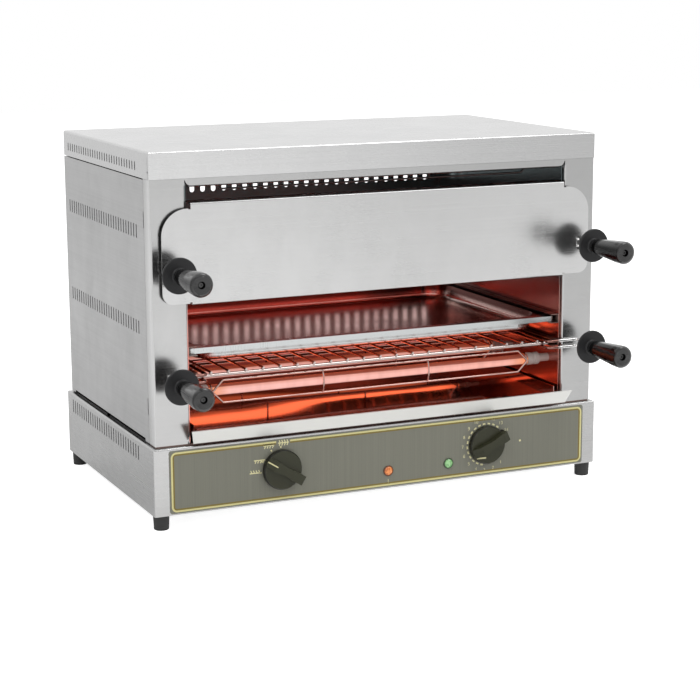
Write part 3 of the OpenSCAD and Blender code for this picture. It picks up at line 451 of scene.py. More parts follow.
rubbedValues = {"stretch": (900.0, 5.0, 5.0), "stir": 0.03, "depth": 0.000004}
# the pink clean colours and the red straw and brown are partly heat tint, partly painted red glow of the
# tubes
hotValues = {
    "linerSteel": {"clean": (0.74, 0.46, 0.41), "straw": (0.80, 0.28, 0.22), "brown": (0.54, 0.14, 0.11),
                   "amount": 0.75, "roughness": (0.12, 0.26), "wave": 0.0005, "waveSize": (5.0, 5.0, 7.0),
                   # painted shade: the liner is darker and blue-grey above, tinted against the red light
                   "zones": [("Z", 0.235, 0.30, True, (0.14, 0.17, 0.175))]},
    "panSteel": {"clean": (0.86, 0.46, 0.41), "straw": (0.80, 0.29, 0.23), "brown": (0.50, 0.13, 0.10),
                 "amount": 0.80, "roughness": (0.15, 0.29), "wave": 0.0008, "waveSize": (5.0, 6.0, 2.0),
                 # painted reflection: the pan's right wall is made lighter
                 "zones": [("X", 0.2260, 0.2330, True, (0.95, 0.70, 0.64)),          # right wall
                           ("Z", 0.2150, 0.2200, True, (0.17, 0.065, 0.055)),        # rim
                           ("Y", -0.1040, -0.1090, False, (0.49, 0.505, 0.505)),     # front of the rim
                           ("Z", 0.2068, 0.2064, False, (0.10, 0.045, 0.035))]},     # underside
}


# polished sheet that has seen heat: heat colours, which are partly painted red glow of the tubes, and slow
# waves that bend what it mirrors. a liner is painted darker and blue-grey towards its top, as shade tinted
# against the red light; the pan's right wall has a painted reflection that makes it lighter, its rim is baked
# brown but for the bright front, and its underside dark
def makeHotSteel(name, values):
    steel = surfaceFinish(name, values["clean"], 1.0, values["roughness"][0])
    heat = steel.heat(values)
    lines = steel.group("brushLines", {"Stretch": rubbedValues["stretch"]})["Height"]
    steel.put("Base Color", steel.zoned(heat["Color"], values["zones"]))
    steel.roughen(heat["Mask"], *values["roughness"], lines, rubbedValues["stir"])
    waves = stretchedNoise(steel.place, values["waveSize"], 1.0, 0.3, 0.4)
    steel.bump(lines, rubbedValues["depth"], steel.bump(waves, values["wave"]))
    return steel


# the tray's pinks and reds are partly heat tint, partly painted red glow of the tubes
trayValues = {"clean": (0.54, 0.35, 0.33), "straw": (0.55, 0.30, 0.26), "brown": (0.42, 0.17, 0.12),
              "amount": 0.5, "front": (0.65, 0.65, 0.63), "frontEdge": 0.002,
              "back": (0.26, 0.105, 0.09), "backEdge": (0.204, 0.208), "roughness": (0.055, 0.30),
              "ridge": 0.0030, "ridgeY": -0.015, "ridgeWidth": 0.060, "ridgeStart": (-0.170, 0.010),
              "ripple": 0.0008, "stretch": (4.0, 900.0, 900.0), "stir": 0.02, "depth": 0.000004}


# the tray's sheet has sprung with the heat: a low ridge, height = bell of y times a step of x, runs
# over the right half of its floor, with a slow ripple everywhere; the leaning front stays clean and the
# turned-up back is baked dull
def makeTraySteel(values):
    steel = surfaceFinish("traySteel", values["clean"], 1.0, values["roughness"][0])
    width = values["ridgeWidth"]
    front = steel.along("Y", layout["trayEdge"] + values["frontEdge"], layout["trayEdge"])
    back = steel.along("Y", *values["backEdge"])
    lines = steel.group("brushLines", {"Stretch": values["stretch"]})["Height"]
    floor = mixColours(back, steel.heat(values)["Color"], values["back"])
    steel.put("Base Color", mixColours(front, floor, values["front"]))
    steel.roughen(combine("MAXIMUM", front, back), *values["roughness"], lines, values["stir"])
    away = combine("MULTIPLY_ADD", steel.axis("Y"), 1 / width, -values["ridgeY"] / width)
    bell = combine("EXPONENT", times(times(away, away), -1.0))
    ridge = times(steel.along("X", *values["ridgeStart"], 0.0, values["ridge"], True), bell)
    ripple = stretchedNoise(steel.place, (5.0, 9.0, 2.0), 1.5, 0.4, 0.5)
    height = combine("MULTIPLY_ADD", ripple, values["ripple"], ridge)
    under = steel.bump(times(height, mapped(front, 0.0, 1.0, 1.0, 0.0)), 1.0)
    steel.bump(lines, values["depth"], under)
    return steel


dryInk = {"roughness": 0.5, "grain": 800.0, "depth": 0.00001, "dusty": 0.2}
plasticValues = {
    "gripBlack": {"colour": (0.003, 0.003, 0.0032), "roughness": 0.06, "grain": 700.0, "depth": 0.000002,
                  "dusty": 0.05, "shine": 0.22, "paintedSheen": (0.25, 0.70), "paintedSheenEnd": (0.70, 0.90),
                  "domeX": 0.292, "domeLevels": (0.190, 0.328), "dome": 42.0},
    "discBlack": {"colour": (0.020, 0.020, 0.021), "roughness": 0.36, "grain": 700.0, "depth": 0.00002,
                  "dusty": 0.3, "shine": 0.25},
    "knobOlive": {"colour": (0.034, 0.035, 0.018), "roughness": 0.34, "grain": 900.0, "depth": 0.00002,
                  "dusty": 0.2, "shine": 0.28,
                  # painted shade: the knob's skirt by the plate is darkened
                  "zones": [("Y", layout["knobBase"] - 0.0070, layout["knobBase"] - 0.0056, False,
                             (0.006, 0.006, 0.003))]},     # skirt
    "footRubber": {"colour": (0.022, 0.022, 0.022), "roughness": 0.62, "grain": 600.0, "depth": 0.00006,
                   "dusty": 0.5},
    "glandPlastic": {"colour": (0.030, 0.030, 0.032), "roughness": 0.45, "grain": 600.0, "depth": 0.00004,
                     "dusty": 0.3},
    "switchPlastic": {"colour": (0.62, 0.58, 0.48), "roughness": 0.45, "grain": 500.0, "depth": 0.00004,
                      "dusty": 0.3},
    "movementZinc": {"colour": (0.52, 0.52, 0.50), "roughness": 0.35, "grain": 400.0, "depth": 0.00003,
                     "dusty": 0.3, "metallic": 1.0},
    "ceramicCap": {"colour": (0.52, 0.44, 0.41), "roughness": 0.48, "grain": 350.0, "depth": 0.00012,
                   "dusty": 0.8},
    "inkMark": {"colour": (0.80, 0.75, 0.42), **dryInk},
    "inkGold": {"colour": (0.20, 0.15, 0.03), **dryInk},
    "inkPale": {"colour": (0.72, 0.66, 0.30), **dryInk},
    "coilLit": {"colour": (0.90, 0.30, 0.10), "roughness": 0.5, "grain": 400.0, "depth": 0.00002,
                "dusty": 0.1, "glow": (1.0, 0.30, 0.12), "strength": 2.2},
}


# the polished end of a grip swells to its middle: height = minus the square of the distance to the axis
# of the nearest grip, times a number per metre
def domeHeight(plastic, values):
    low, high = values["domeLevels"]
    halfway, step = (low + high) / 2, 0.0001
    nearest = plastic.along("Z", halfway - step, halfway + step, low, high)
    across = combine("SUBTRACT", plastic.axis("width"), values["domeX"])
    upward = combine("SUBTRACT", plastic.axis("Z"), nearest)
    return times(sumOfSquares(across, upward), -values["dome"])


# moulded pieces: the skin's grain lifts the surface and its specks fade the colour. the grips get a painted
# sheen where they face up or forwards: their coat = the larger of two steps of the slope
def makePlastic(name, values):
    plastic = surfaceFinish(name, values["colour"], values.get("metallic", 0.0), values["roughness"])
    skin = plastic.group("mouldedSkin", {"Grain": values["grain"]})
    faded = tuple(min(1.0, c * 1.5 + 0.02) for c in values["colour"])
    colour = mixColours(times(skin["Dust"], values["dusty"]), values["colour"], faded)
    plastic.put("Base Color", plastic.zoned(colour, values.get("zones", ())))
    plastic.roughen(skin["Dust"], values["roughness"], values["roughness"] + 0.15)
    plastic.put("Specular IOR Level", values.get("shine", 0.5))
    # painted sheen: a glossy coat only on the grips' upper and forward faces
    if "paintedSheen" in values:
        above = mapped(plastic.slope("Z"), *values["paintedSheen"], smooth=True)
        forwards = times(plastic.slope("Y"), -1.0)
        atEnd = mapped(forwards, *values["paintedSheenEnd"], 0.0, 0.9)
        plastic.put("Coat Weight", combine("MAXIMUM", above, atEnd))
        plastic.put("Coat Roughness", 0.08)
    if "glow" in values:
        plastic.put("Emission Color", values["glow"])
        plastic.put("Emission Strength", values["strength"])
    under = plastic.bump(skin["Height"], values["depth"])
    if "dome" in values:
        plastic.bump(domeHeight(plastic, values), 1.0, under)
    return plastic


lensValues = {
    "lensOrange": {"x": 0.003, "z": 0.043, "radius": 0.0058, "colour": (0.40, 0.10, 0.015),
                   "middle": (0.86, 0.30, 0.07), "rim": (0.34, 0.08, 0.008)},
    "lensGreen": {"x": 0.092, "z": 0.043, "radius": 0.0058, "colour": (0.16, 0.34, 0.14),
                  "middle": (0.30, 0.52, 0.24), "rim": (0.05, 0.20, 0.05)},
}
bezelValues = {"left": (0.115, 0.040, 0.012), "right": (0.045, 0.075, 0.032), "split": (0.047, 0.049)}


# a moulded lens, lit from behind: glow = middle to rim by the distance to the lamp's axis, broken by the
# facets inside
def makeLens(name, values):
    lens = surfaceFinish(name, values["colour"], 0.0, 0.12)
    radius = values["radius"]
    away = combine("SQRT", sumOfSquares(combine("SUBTRACT", lens.axis("X"), values["x"]),
                                        combine("SUBTRACT", lens.axis("Z"), values["z"])))
    facets = stretchedNoise(lens.place, (420.0, 60.0, 300.0), 0.0)
    turned = combine("MULTIPLY_ADD", mapped(facets, 0.35, 0.65, -0.5, 0.5), radius * 0.7, away)
    far = mapped(turned, radius * 0.25, radius * 0.95, smooth=True)
    lens.put("Emission Color", mixColours(far, values["middle"], values["rim"]))
    lens.put("Emission Strength", 0.62)
    lens.put("Coat Weight", 0.5)
    lens.bump(facets, 0.0008)
    return lens


# the bezels carry the painted glow of their lamps, one colour to each side of a line
def makeBezel(values):
    bezel = surfaceFinish("bezelLampGlow", values["left"], 0.0, 0.30)
    side = bezel.along("X", *values["split"])
    bezel.put("Base Color", mixColours(side, values["left"], values["right"]))
    bezel.bump(bezel.group("mouldedSkin", {"Grain": 700.0})["Height"], 0.00002)
    return bezel


# the racks' and the bottom guard's pinks and reds are partly heat tint, partly painted red glow of the tubes
wireValues = {
    "rackWire": {"clean": (0.66, 0.38, 0.35), "straw": (0.60, 0.28, 0.25), "brown": (0.46, 0.17, 0.15),
                 "roughness": 0.18, "amount": 0.8,
                 "zones": [("Y", -0.1190, -0.1215, False, (0.46, 0.39, 0.37))]},
    "handleWire": {"clean": (0.72, 0.72, 0.72), "straw": (0.66, 0.62, 0.56), "brown": (0.40, 0.36, 0.32),
                   "roughness": 0.12, "amount": 0.15,
                   "zones": [("width", 0.2660, 0.2600, False, (0.26, 0.13, 0.11))]},
    "guardWire": {"clean": (0.56, 0.48, 0.46), "straw": (0.50, 0.28, 0.23), "brown": (0.26, 0.12, 0.09),
                  "roughness": 0.20, "amount": 0.7},
    "turnedSteel": {"clean": (0.60, 0.60, 0.60), "straw": (0.58, 0.56, 0.52), "brown": (0.40, 0.38, 0.36),
                    "roughness": 0.22, "amount": 0.1},
    "darkGuard": {"clean": (0.10, 0.09, 0.09), "straw": (0.08, 0.06, 0.05), "brown": (0.05, 0.03, 0.03),
                  "roughness": 0.35, "amount": 0.7},
    "coilDark": {"clean": (0.35, 0.33, 0.31), "straw": (0.30, 0.22, 0.18), "brown": (0.16, 0.10, 0.08),
                 "roughness": 0.40, "amount": 0.5},
}


# drawn wire: nearly a mirror, with heat colours and faint draw marks; in the racks and the bottom guard the
# reds are partly painted red glow of the tubes. a rack's front bar stays bright, and a handle wire is darker
# and redder between the liners
def makeWire(name, values):
    wire = surfaceFinish(name, values["clean"], 1.0, values["roughness"])
    skin = wire.group("mouldedSkin", {"Grain": 500.0})
    wire.put("Base Color", wire.zoned(wire.heat(values)["Color"], values.get("zones", ())))
    wire.roughen(skin["Dust"], values["roughness"], values["roughness"] + 0.2)
    wire.bump(skin["Height"], 0.00001)
    return wire


quartzValues = {
    "quartzLit": {"colour": (0.10, 0.06, 0.05), "clear": 0.25, "roughness": 0.16, "shine": 0.25,
                  "low": (0.73, 0.46, 0.43), "lowFar": (0.75, 0.41, 0.35), "middle": (0.60, 0.33, 0.28),
                  "top": (0.10, 0.02, 0.012), "hot": (0.74, 0.24, 0.06), "seenDepth": (1.0, 0.30),
                  "cast": (1.0, 0.20, 0.08), "castStrength": 1.95},
    "quartzWarm": {"colour": (0.46, 0.40, 0.38), "clear": 0.60, "roughness": 0.20, "shine": 0.5,
                   "low": (0.16, 0.03, 0.02), "lowFar": (0.16, 0.03, 0.02), "middle": (0.14, 0.02, 0.02),
                   "top": (0.08, 0.01, 0.01), "hot": (0.10, 0.02, 0.01), "seenDepth": (1.0, 1.0),
                   "cast": (1.0, 0.13, 0.08), "castStrength": 0.7},
    "quartzDark": {"colour": (0.80, 0.79, 0.78), "clear": 0.75, "roughness": 0.20, "shine": 0.5},
}

# where the glow changes: along the tubes, from row to row, and by the slope of the wall, where it is painted
# highlight and shade. the last four are a start, an end and the numbers there
glowValues = {"far": (-0.20, 0.22), "middle": (0.0, 0.42), "top": (0.46, 0.66), "under": (-0.72, -0.92),
              "rows": (-0.08, 0.19), "hotLength": 0.040, "hotShare": 0.85,
              "drift": (0.3, 0.7, -0.16, 0.16), "ripple": (0.3, 0.7, 0.90, 1.08),
              "castRows": (0.11, 0.18, 1.0, 0.25), "castLow": (-0.80, -0.50, 0.25, 1.0)}


# frosted quartz: the eye sees a pale glow with painted highlight and shade mixed by the slope of the wall,
# from the bright low side over the middle to the dark top and the dark underside, dimmer in the rear rows,
# and it turns hot at the caps. the steel around takes the redder cast light, which fades low on the wall, at
# the caps and in the rear rows
def makeQuartz(name, values):
    quartz = surfaceFinish(name, values["colour"], 0.0, values["roughness"])
    quartz.put("Transmission Weight", values["clear"])
    quartz.put("Specular IOR Level", values["shine"])
    quartz.bump(quartz.group("mouldedSkin", {"Grain": 300.0})["Height"], 0.00002)
    if "cast" not in values:
        return quartz
    slope = quartz.slope("Z")
    drift = mapped(stretchedNoise(quartz.place, (7.0, 2.0, 2.0), 1.0), *glowValues["drift"])
    lean = combine("ADD", slope, drift)
    ends = quartz.along("width", layout["tubeEnd"] - glowValues["hotLength"], layout["tubeEnd"], 0.0,
                        glowValues["hotShare"], True)
    # painted highlight and shade: the seen glow is mixed by the wall's slope
    seen = mixColours(quartz.along("X", *glowValues["far"]), values["low"], values["lowFar"])
    seen = mixColours(mapped(lean, *glowValues["middle"]), seen, values["middle"])
    seen = mixColours(ends, seen, values["hot"])
    seen = mixColours(mapped(lean, *glowValues["top"], smooth=True), seen, values["top"])
    seen = mixColours(mapped(slope, *glowValues["under"]), seen, values["top"])
    ripple = mapped(stretchedNoise(quartz.place, (90.0, 20.0, 20.0), 2.0), *glowValues["ripple"])
    rows = quartz.along("Y", *glowValues["rows"], *values["seenDepth"])
    seen = dimmed(seen, times(ripple, rows))
    reach = times(quartz.along("Y", *glowValues["castRows"]), mapped(ends, 0.0, 1.0, 1.0, 0.3))
    reach = times(reach, mapped(slope, *glowValues["castLow"]))
    cast = dimmed(tuple(c * values["castStrength"] for c in values["cast"]), reach)
    camera = newNode(quartz.tree, "ShaderNodeLightPath").outputs["Is Camera Ray"]
    quartz.put("Emission Color", mixColours(camera, cast, seen))
    quartz.put("Emission Strength", 1.0)
    return quartz


plateValues = {"colour": (0.190, 0.190, 0.150), "roughness": 0.45, "streak": 0.10}


# the enamelled control plate: faint upright streaks and a satin skin
def makePlatePaint(values):
    paint = surfaceFinish("plateEnamel", values["colour"], 0.0, values["roughness"])
    lines = paint.group("brushLines", {"Stretch": (700.0, 3.0, 3.0)})
    marks = paint.group("wipeMarks", {"Size": 10.0})["Mask"]
    darker = tuple(c * (1 - values["streak"]) for c in values["colour"])
    lighter = tuple(c * (1 + values["streak"]) for c in values["colour"])
    streaks = mapped(lines["Shade"], 0.25, 0.75)
    paint.put("Base Color", mixColours(streaks, darker, lighter))
    paint.roughen(marks, values["roughness"], values["roughness"] + 0.12)
    paint.put("Coat Weight", 0.10)
    paint.put("Coat Roughness", 0.25)
    paint.bump(lines["Height"], 0.000008)
    return paint


finishes = {"traySteel": makeTraySteel(trayValues), "bezelLampGlow": makeBezel(bezelValues),
            "plateEnamel": makePlatePaint(plateValues)}
for makeFinish, family in ((makeSteel, steelValues), (makeHotSteel, hotValues), (makePlastic, plasticValues),
                           (makeWire, wireValues), (makeQuartz, quartzValues), (makeLens, lensValues)):
    finishes.update({name: makeFinish(name, values) for name, values in family.items()})
print("stage:", len(finishes), "finishes are mixed")

dressing = {
    "caseSteel": ["shield_panel"],
    "postSteel": ["front_fascia"],
    "baseSteel": ["base_housing", "base_bottom_plate"],
    "lidSteel": ["lid"],
    "sideSteel": ["left_side_panel", "right_side_panel", "rear_panel"],
    "innerSteel": ["cavity_floor", "tray_rails", "left_runners", "right_runners", "shield_clips"],
    "linerSteel": ["left_liner", "right_liner", "top_reflector"],
    "traySteel": ["crumb_tray"],
    "panSteel": ["pan"],
    "rackWire": ["lower_rack_frame", "lower_rack_bars", "upper_rack_frame", "upper_rack_bars"],
    "handleWire": ["lower_handle_wires", "upper_handle_wires"],
    "guardWire": ["bottom_tube_guards"],
    "darkGuard": ["middle_tube_guards", "top_tube_guards"],
    "turnedSteel": ["foot_screws", "control_nuts", "selector_shaft", "timer_shaft"],
    "gripBlack": ["lower_grips", "upper_grips", "lower_grip_screws", "upper_grip_screws"],
    "discBlack": ["lower_heat_discs", "upper_heat_discs"],
    "knobOlive": ["selector_knob", "timer_knob"],
    "footRubber": ["feet"],
    "glandPlastic": ["cable_gland"],
    "switchPlastic": ["selector_switch", "terminal_block"],
    "movementZinc": ["timer_movement"],
    "bezelLampGlow": ["lamp_bezels"],
    "ceramicCap": ["bottom_tube_caps", "middle_tube_caps", "top_tube_caps"],
    "quartzLit": ["bottom_tubes"],
    "quartzWarm": ["middle_tubes"],
    "quartzDark": ["top_tubes"],
    "lensOrange": ["orange_lamp"],
    "lensGreen": ["green_lamp"],
    "plateEnamel": ["control_plate"],
}
for finishName, members in dressing.items():
    for member in members:
        for place in nodes[member].material_slots:
            place.material = finishes[finishName].material
print("stage: the metal, plastic and glass nodes are dressed")


# faces of a grid whose rows are closed rings: each point is joined with its neighbours along its ring
# and in the next ring; where the rings themselves close, the last is joined with the first
def gridMesh(points, closed=False):
    rows, columns = points.shape[:2]
    i, j = (a.ravel() for a in np.meshgrid(np.arange(rows if closed else rows - 1), np.arange(columns),
                                           indexing="ij"))
    nextI, nextJ = (i + 1) % rows, (j + 1) % columns
    faces = np.stack([i * columns + j, nextI * columns + j, nextI * columns + nextJ, i * columns + nextJ], 1)
    return points.reshape(-1, 3), faces


# a grid of closed rings gets a pole at each end: a fan of triangles joins it to the first or last ring
def closeEnds(points, faces, count, first, last):
    base, index = len(points), np.arange(count)
    after, none = (index + 1) % count, np.full(count, -1)
    front = np.stack([np.full(count, base), index, after, none], 1)
    back = np.stack([np.full(count, base + 1), base - count + after, base - count + index, none], 1)
    return np.concatenate([points, [first], [last]]), np.concatenate([faces, front, back])


# several parts put into one mesh object; a face of three corners has -1 as its fourth
def meshObject(name, parts, finish, body, smooth=True):
    offsets = np.cumsum([0] + [len(points) for points, faces in parts[:-1]])
    points = np.concatenate([points for points, faces in parts]).astype(np.float32)
    faces = np.concatenate([np.where(part[1] < 0, -1, part[1] + o) for part, o in zip(parts, offsets)])
    corners = (faces >= 0).sum(1)
    loops = faces[faces >= 0].astype(np.int32)
    mesh = bpy.data.meshes.new(name)
    mesh.vertices.add(len(points))
    mesh.vertices.foreach_set("co", points.ravel())
    mesh.loops.add(len(loops))
    mesh.loops.foreach_set("vertex_index", loops)
    mesh.polygons.add(len(faces))
    mesh.polygons.foreach_set("loop_start", np.concatenate([[0], np.cumsum(corners)[:-1]]).astype(np.int32))
    mesh.polygons.foreach_set("use_smooth", np.full(len(faces), smooth))
    mesh.update(calc_edges=True)
    mesh.validate()
    mesh.materials.append(finishes[finish].material)
    thing = newObject(name, mesh)
    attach(thing, body)
    return thing


# a profile carried along a path: point = path + side * profile x + above * profile y, where side is
# across the path's tangent and the up direction, and above is across both
def sweep(path, profile, up, closed=False):
    if closed:
        tangent = np.roll(path, -1, 0) - np.roll(path, 1, 0)
    else:
        tangent = np.gradient(path, axis=0)
    tangent /= np.linalg.norm(tangent, axis=1, keepdims=True)
    side = np.cross(tangent, up)
    side /= np.linalg.norm(side, axis=1, keepdims=True)
    above = np.cross(side, tangent)
    grid = path[:, None] + side[:, None] * profile[None, :, :1] + above[:, None] * profile[None, :, 1:]
    points, faces = gridMesh(grid, closed)
    return (points, faces) if closed else closeEnds(points, faces, len(profile), path[0], path[-1])


def circleProfile(radius, sides):
    turn = np.linspace(0, 2 * np.pi, sides, endpoint=False)
    return np.stack([np.cos(turn), np.sin(turn)], 1) * radius


inkValues = {"sunk": 0.00003, "proud": 0.00005}


# a printed line: a thin strip of paint along a path of points (x, z) of the plate's front
def printedLine(flat, width, closed=False, rise=0.0):
    half, sunk, proud = width / 2, inkValues["sunk"], inkValues["proud"]
    profile = np.array([(-half, -sunk), (half, -sunk), (half, proud), (-half, proud)])
    path = np.insert(flat, 1, layout["plateFront"] - rise, axis=1)
    return sweep(path, profile, (0, -1, 0), closed)


borderValues = {"halfWidth": 0.2968, "low": 0.0240, "high": 0.0992, "corner": 0.006, "line": 0.0023,
                "goldInset": 0.0020, "gold": 0.0026, "gap": (-0.1558, -0.1365)}


# four quarter circles joined by straight lines, open at the top between the two ends of the gap
def borderLoop(values, inset):
    w, low, high = values["halfWidth"] - inset, values["low"] + inset, values["high"] - inset
    r = values["corner"] - inset
    steps = np.linspace(0, np.pi / 2, 9)
    arc = np.stack([np.cos(steps), np.sin(steps)], 1) * r
    turns = [np.array([[c, -s], [s, c]]) for c, s in ((1, 0), (0, 1), (-1, 0), (0, -1))]
    middles = [(w - r, high - r), (-w + r, high - r), (-w + r, low + r), (w - r, low + r)]
    corners = [arc @ turn.T + middle for turn, middle in zip(turns, middles)]
    left, right = values["gap"]
    rounds = [corners[i][::-1] for i in (0, 3, 2, 1)]
    return np.concatenate([np.array([(right, high)]), *rounds, np.array([(left, high)])])


# the frame printed round the plate: a pale line with a gold one inside it
def makeBorder(values):
    pale = printedLine(borderLoop(values, 0.0), values["line"], rise=0.00004)
    gold = printedLine(borderLoop(values, values["goldInset"]), values["gold"])
    meshObject("plateBorderLine", [pale], "inkPale", "case", False)
    meshObject("plateBorderGold", [gold], "inkGold", "case", False)


markValues = {
    "tickAngles": (184, 155, 118, 91), "tickInner": 0.0276, "tickOuter": 0.0302, "tickWidth": 0.0019,
    "icons": ((-0.1852, 0.0613), (-0.1791, 0.0776), (-0.1659, 0.0956), (-0.1457, 0.0974)),
    "bar": 0.0150, "barLine": 0.001495, "wave": 0.0030, "waveSwing": 0.0005, "waveGap": 0.0007,
    "waveSpan": 0.0054, "waveLine": 0.00115, "lampMark": (0.003, 0.0315, 0.0234), "lampLine": 0.0007,
    "dashRadius": 0.0283, "dashSpan": (48, 268), "dashes": 15, "dashShare": 0.55, "dashWidth": 0.0022,
    "dot": (0.2016, 0.0625), "dotRadius": 0.0008, "dotLine": 0.0014,
    "numberRadius": 0.0355, "numberStart": 310, "numberStep": 21.6, "numbers": 14, "numberSize": 0.0040,
    "numberLine": 0.00055, "digitPitch": 0.85,
}


def polar(middle, radius, degrees):
    turn = np.radians(degrees)
    return np.stack([middle[0] + radius * np.cos(turn), middle[1] + radius * np.sin(turn)], -1)


# heat marks: a bar between wavy strokes, which rise above it, hang below it or both
def iconStrokes(middle, values, directions):
    half = np.array([values["bar"] / 2, 0])
    parts = [printedLine(np.array([middle - half, middle + half]), values["barLine"])]
    t = np.linspace(0, 1, 13)
    for x in middle[0] + np.linspace(-values["waveSpan"], values["waveSpan"], 4):
        for direction in directions:
            wave = np.stack([x + values["waveSwing"] * np.sin(t * 2 * np.pi),
                             middle[1] + direction * (values["waveGap"] + t * values["wave"])], 1)
            parts.append(printedLine(wave, values["waveLine"]))
    return parts


# the selector's ticks and heat marks, and the line below the orange lamp
def makeSelectorMarks(values):
    parts = [printedLine(polar(layout["selector"], np.array([values["tickInner"], values["tickOuter"]]), a),
                         values["tickWidth"]) for a in values["tickAngles"]]
    for middle, directions in zip(values["icons"], ((1,), (-1,), (1, -1), (1, -1))):
        parts += iconStrokes(np.array(middle), values, directions)
    x, high, low = values["lampMark"]
    parts.append(printedLine(np.array([(x, high), (x, low)]), values["lampLine"]))
    meshObject("selectorMarks", parts, "inkMark", "case", False)


# the timer's ring of dashes, each an arc of four steps, and the dot at its side
def makeTimerMarks(values):
    start, end = values["dashSpan"]
    pitch = (end - start) / values["dashes"]
    parts = [printedLine(polar(layout["timer"], values["dashRadius"],
                               np.linspace(a, a + pitch * values["dashShare"], 4)), values["dashWidth"])
             for a in start + pitch * np.arange(values["dashes"])]
    ring = polar(values["dot"], values["dotRadius"], np.linspace(0, 360, 17)[:-1])
    parts.append(printedLine(ring, values["dotLine"], True))
    meshObject("timerMarks", parts, "inkMark", "case", False)


# each digit is one or two strokes in a box 0.6 wide and 1 high
digitStrokes = {
    "0": [[(0.30, 1), (0.08, 0.85), (0, 0.5), (0.08, 0.15), (0.30, 0), (0.52, 0.15), (0.6, 0.5), (0.52, 0.85),
           (0.32, 1)]],
    "1": [[(0.12, 0.78), (0.36, 1), (0.36, 0)]],
    "2": [[(0.03, 0.78), (0.12, 0.94), (0.30, 1), (0.50, 0.92), (0.56, 0.72), (0.45, 0.50), (0, 0),
           (0.6, 0)]],
    "3": [[(0.04, 0.90), (0.28, 1), (0.52, 0.88), (0.50, 0.64), (0.26, 0.53), (0.54, 0.40), (0.56, 0.14),
           (0.30, 0), (0.02, 0.10)]],
    "4": [[(0.44, 0), (0.44, 1), (0, 0.30), (0.6, 0.30)]],
    "5": [[(0.54, 1), (0.10, 1), (0.04, 0.54), (0.30, 0.62), (0.54, 0.48), (0.56, 0.18), (0.30, 0),
           (0.02, 0.10)]],
    "6": [[(0.50, 0.94), (0.28, 1), (0.06, 0.70), (0, 0.30), (0.12, 0.04), (0.34, 0), (0.56, 0.14),
           (0.56, 0.42), (0.34, 0.56), (0.04, 0.40)]],
    "7": [[(0, 1), (0.6, 1), (0.22, 0)]],
    "8": [[(0.30, 1), (0.08, 0.90), (0.06, 0.66), (0.30, 0.54), (0.54, 0.66), (0.52, 0.90), (0.32, 1)],
          [(0.30, 0.54), (0.04, 0.40), (0.04, 0.12), (0.30, 0), (0.56, 0.12), (0.56, 0.40), (0.32, 0.54)]],
    "9": [[(0.10, 0.06), (0.32, 0), (0.54, 0.30), (0.6, 0.70), (0.48, 0.96), (0.26, 1), (0.04, 0.86),
           (0.04, 0.58), (0.26, 0.44), (0.56, 0.60)]],
}


# the timer's numbers stand upright on a circle: each digit's place = centre + size * (box - half the box)
def makeTimerNumbers(values):
    parts, size = [], values["numberSize"]
    for index in range(values["numbers"]):
        digits = str(index + 1)
        middle = polar(layout["timer"], values["numberRadius"],
                       values["numberStart"] - index * values["numberStep"])
        for place, digit in enumerate(digits):
            across = values["digitPitch"] * (place - (len(digits) - 1) / 2)
            shift = np.array([across - 0.3, -0.5]) * size
            parts += [printedLine(np.array(stroke) * size + shift + middle, values["numberLine"])
                      for stroke in digitStrokes[digit]]
    meshObject("timerNumbers", parts, "inkMark", "case", False)


makeBorder(borderValues)
makeSelectorMarks(markValues)
makeTimerMarks(markValues)
makeTimerNumbers(markValues)
print("stage: the control plate is printed")

pointerValues = {"selectorTurn": 148.0, "timerTurn": 205.0, "width": 0.0017,
                 "rise": ((0.0122, 0.0146), (0.0140, 0.0146), (0.0240, 0.0083), (0.0252, 0.0074)),
                 "floor": 0.0070, "timerBar": ((-0.018, -0.0162), (-0.004, -0.0166)),
                 "timerLine": 0.0020, "timerRise": 0.0084}


# the strip let into a knob's groove: it stands upright and its top follows the fall of the grip bar
def makeGrooveStrip(name, body, finish, values):
    turn = math.radians(values[body + "Turn"])
    along = np.array([math.cos(turn), 0, math.sin(turn)])
    across = np.array([-math.sin(turn), 0, math.cos(turn)])
    middle = np.insert(layout[body], 1, layout["knobBase"])
    reach = np.array([r for r, rise in values["rise"]])[:, None, None]
    rise = np.array([rise for r, rise in values["rise"]])
    half = values["width"] / 2
    wide = np.array([-half, half, half, -half])[None, :, None]
    low = np.full(len(rise), values["floor"])
    high = np.stack([rise, rise, low, low], 1)[:, :, None]
    grid = middle + along * reach + across * wide + np.array([0, -1.0, 0]) * high
    points, faces = gridMesh(grid)
    ends = np.array([(0, 1, 2, 3), (12, 15, 14, 13)])
    meshObject(name, [(points, np.concatenate([faces, ends]))], finish, body, False)


# the timer's painted mark lies on the face of its knob
def makeTimerPointer(values):
    flat = np.array(values["timerBar"]) + np.array(layout["timer"])
    part = printedLine(flat, values["timerLine"], rise=values["timerRise"])
    meshObject("timerPointer", [part], "inkMark", "timer", False)


makeGrooveStrip("selectorPointer", "selector", "inkMark", pointerValues)
makeGrooveStrip("timerGroove", "timer", "knobOlive", pointerValues)
makeTimerPointer(pointerValues)
print("stage: the knobs are marked")

coilValues = {"pitch": 0.0042, "radius": 0.0030, "wire": 0.00042, "sides": 5, "steps": 12, "lead": 0.010}


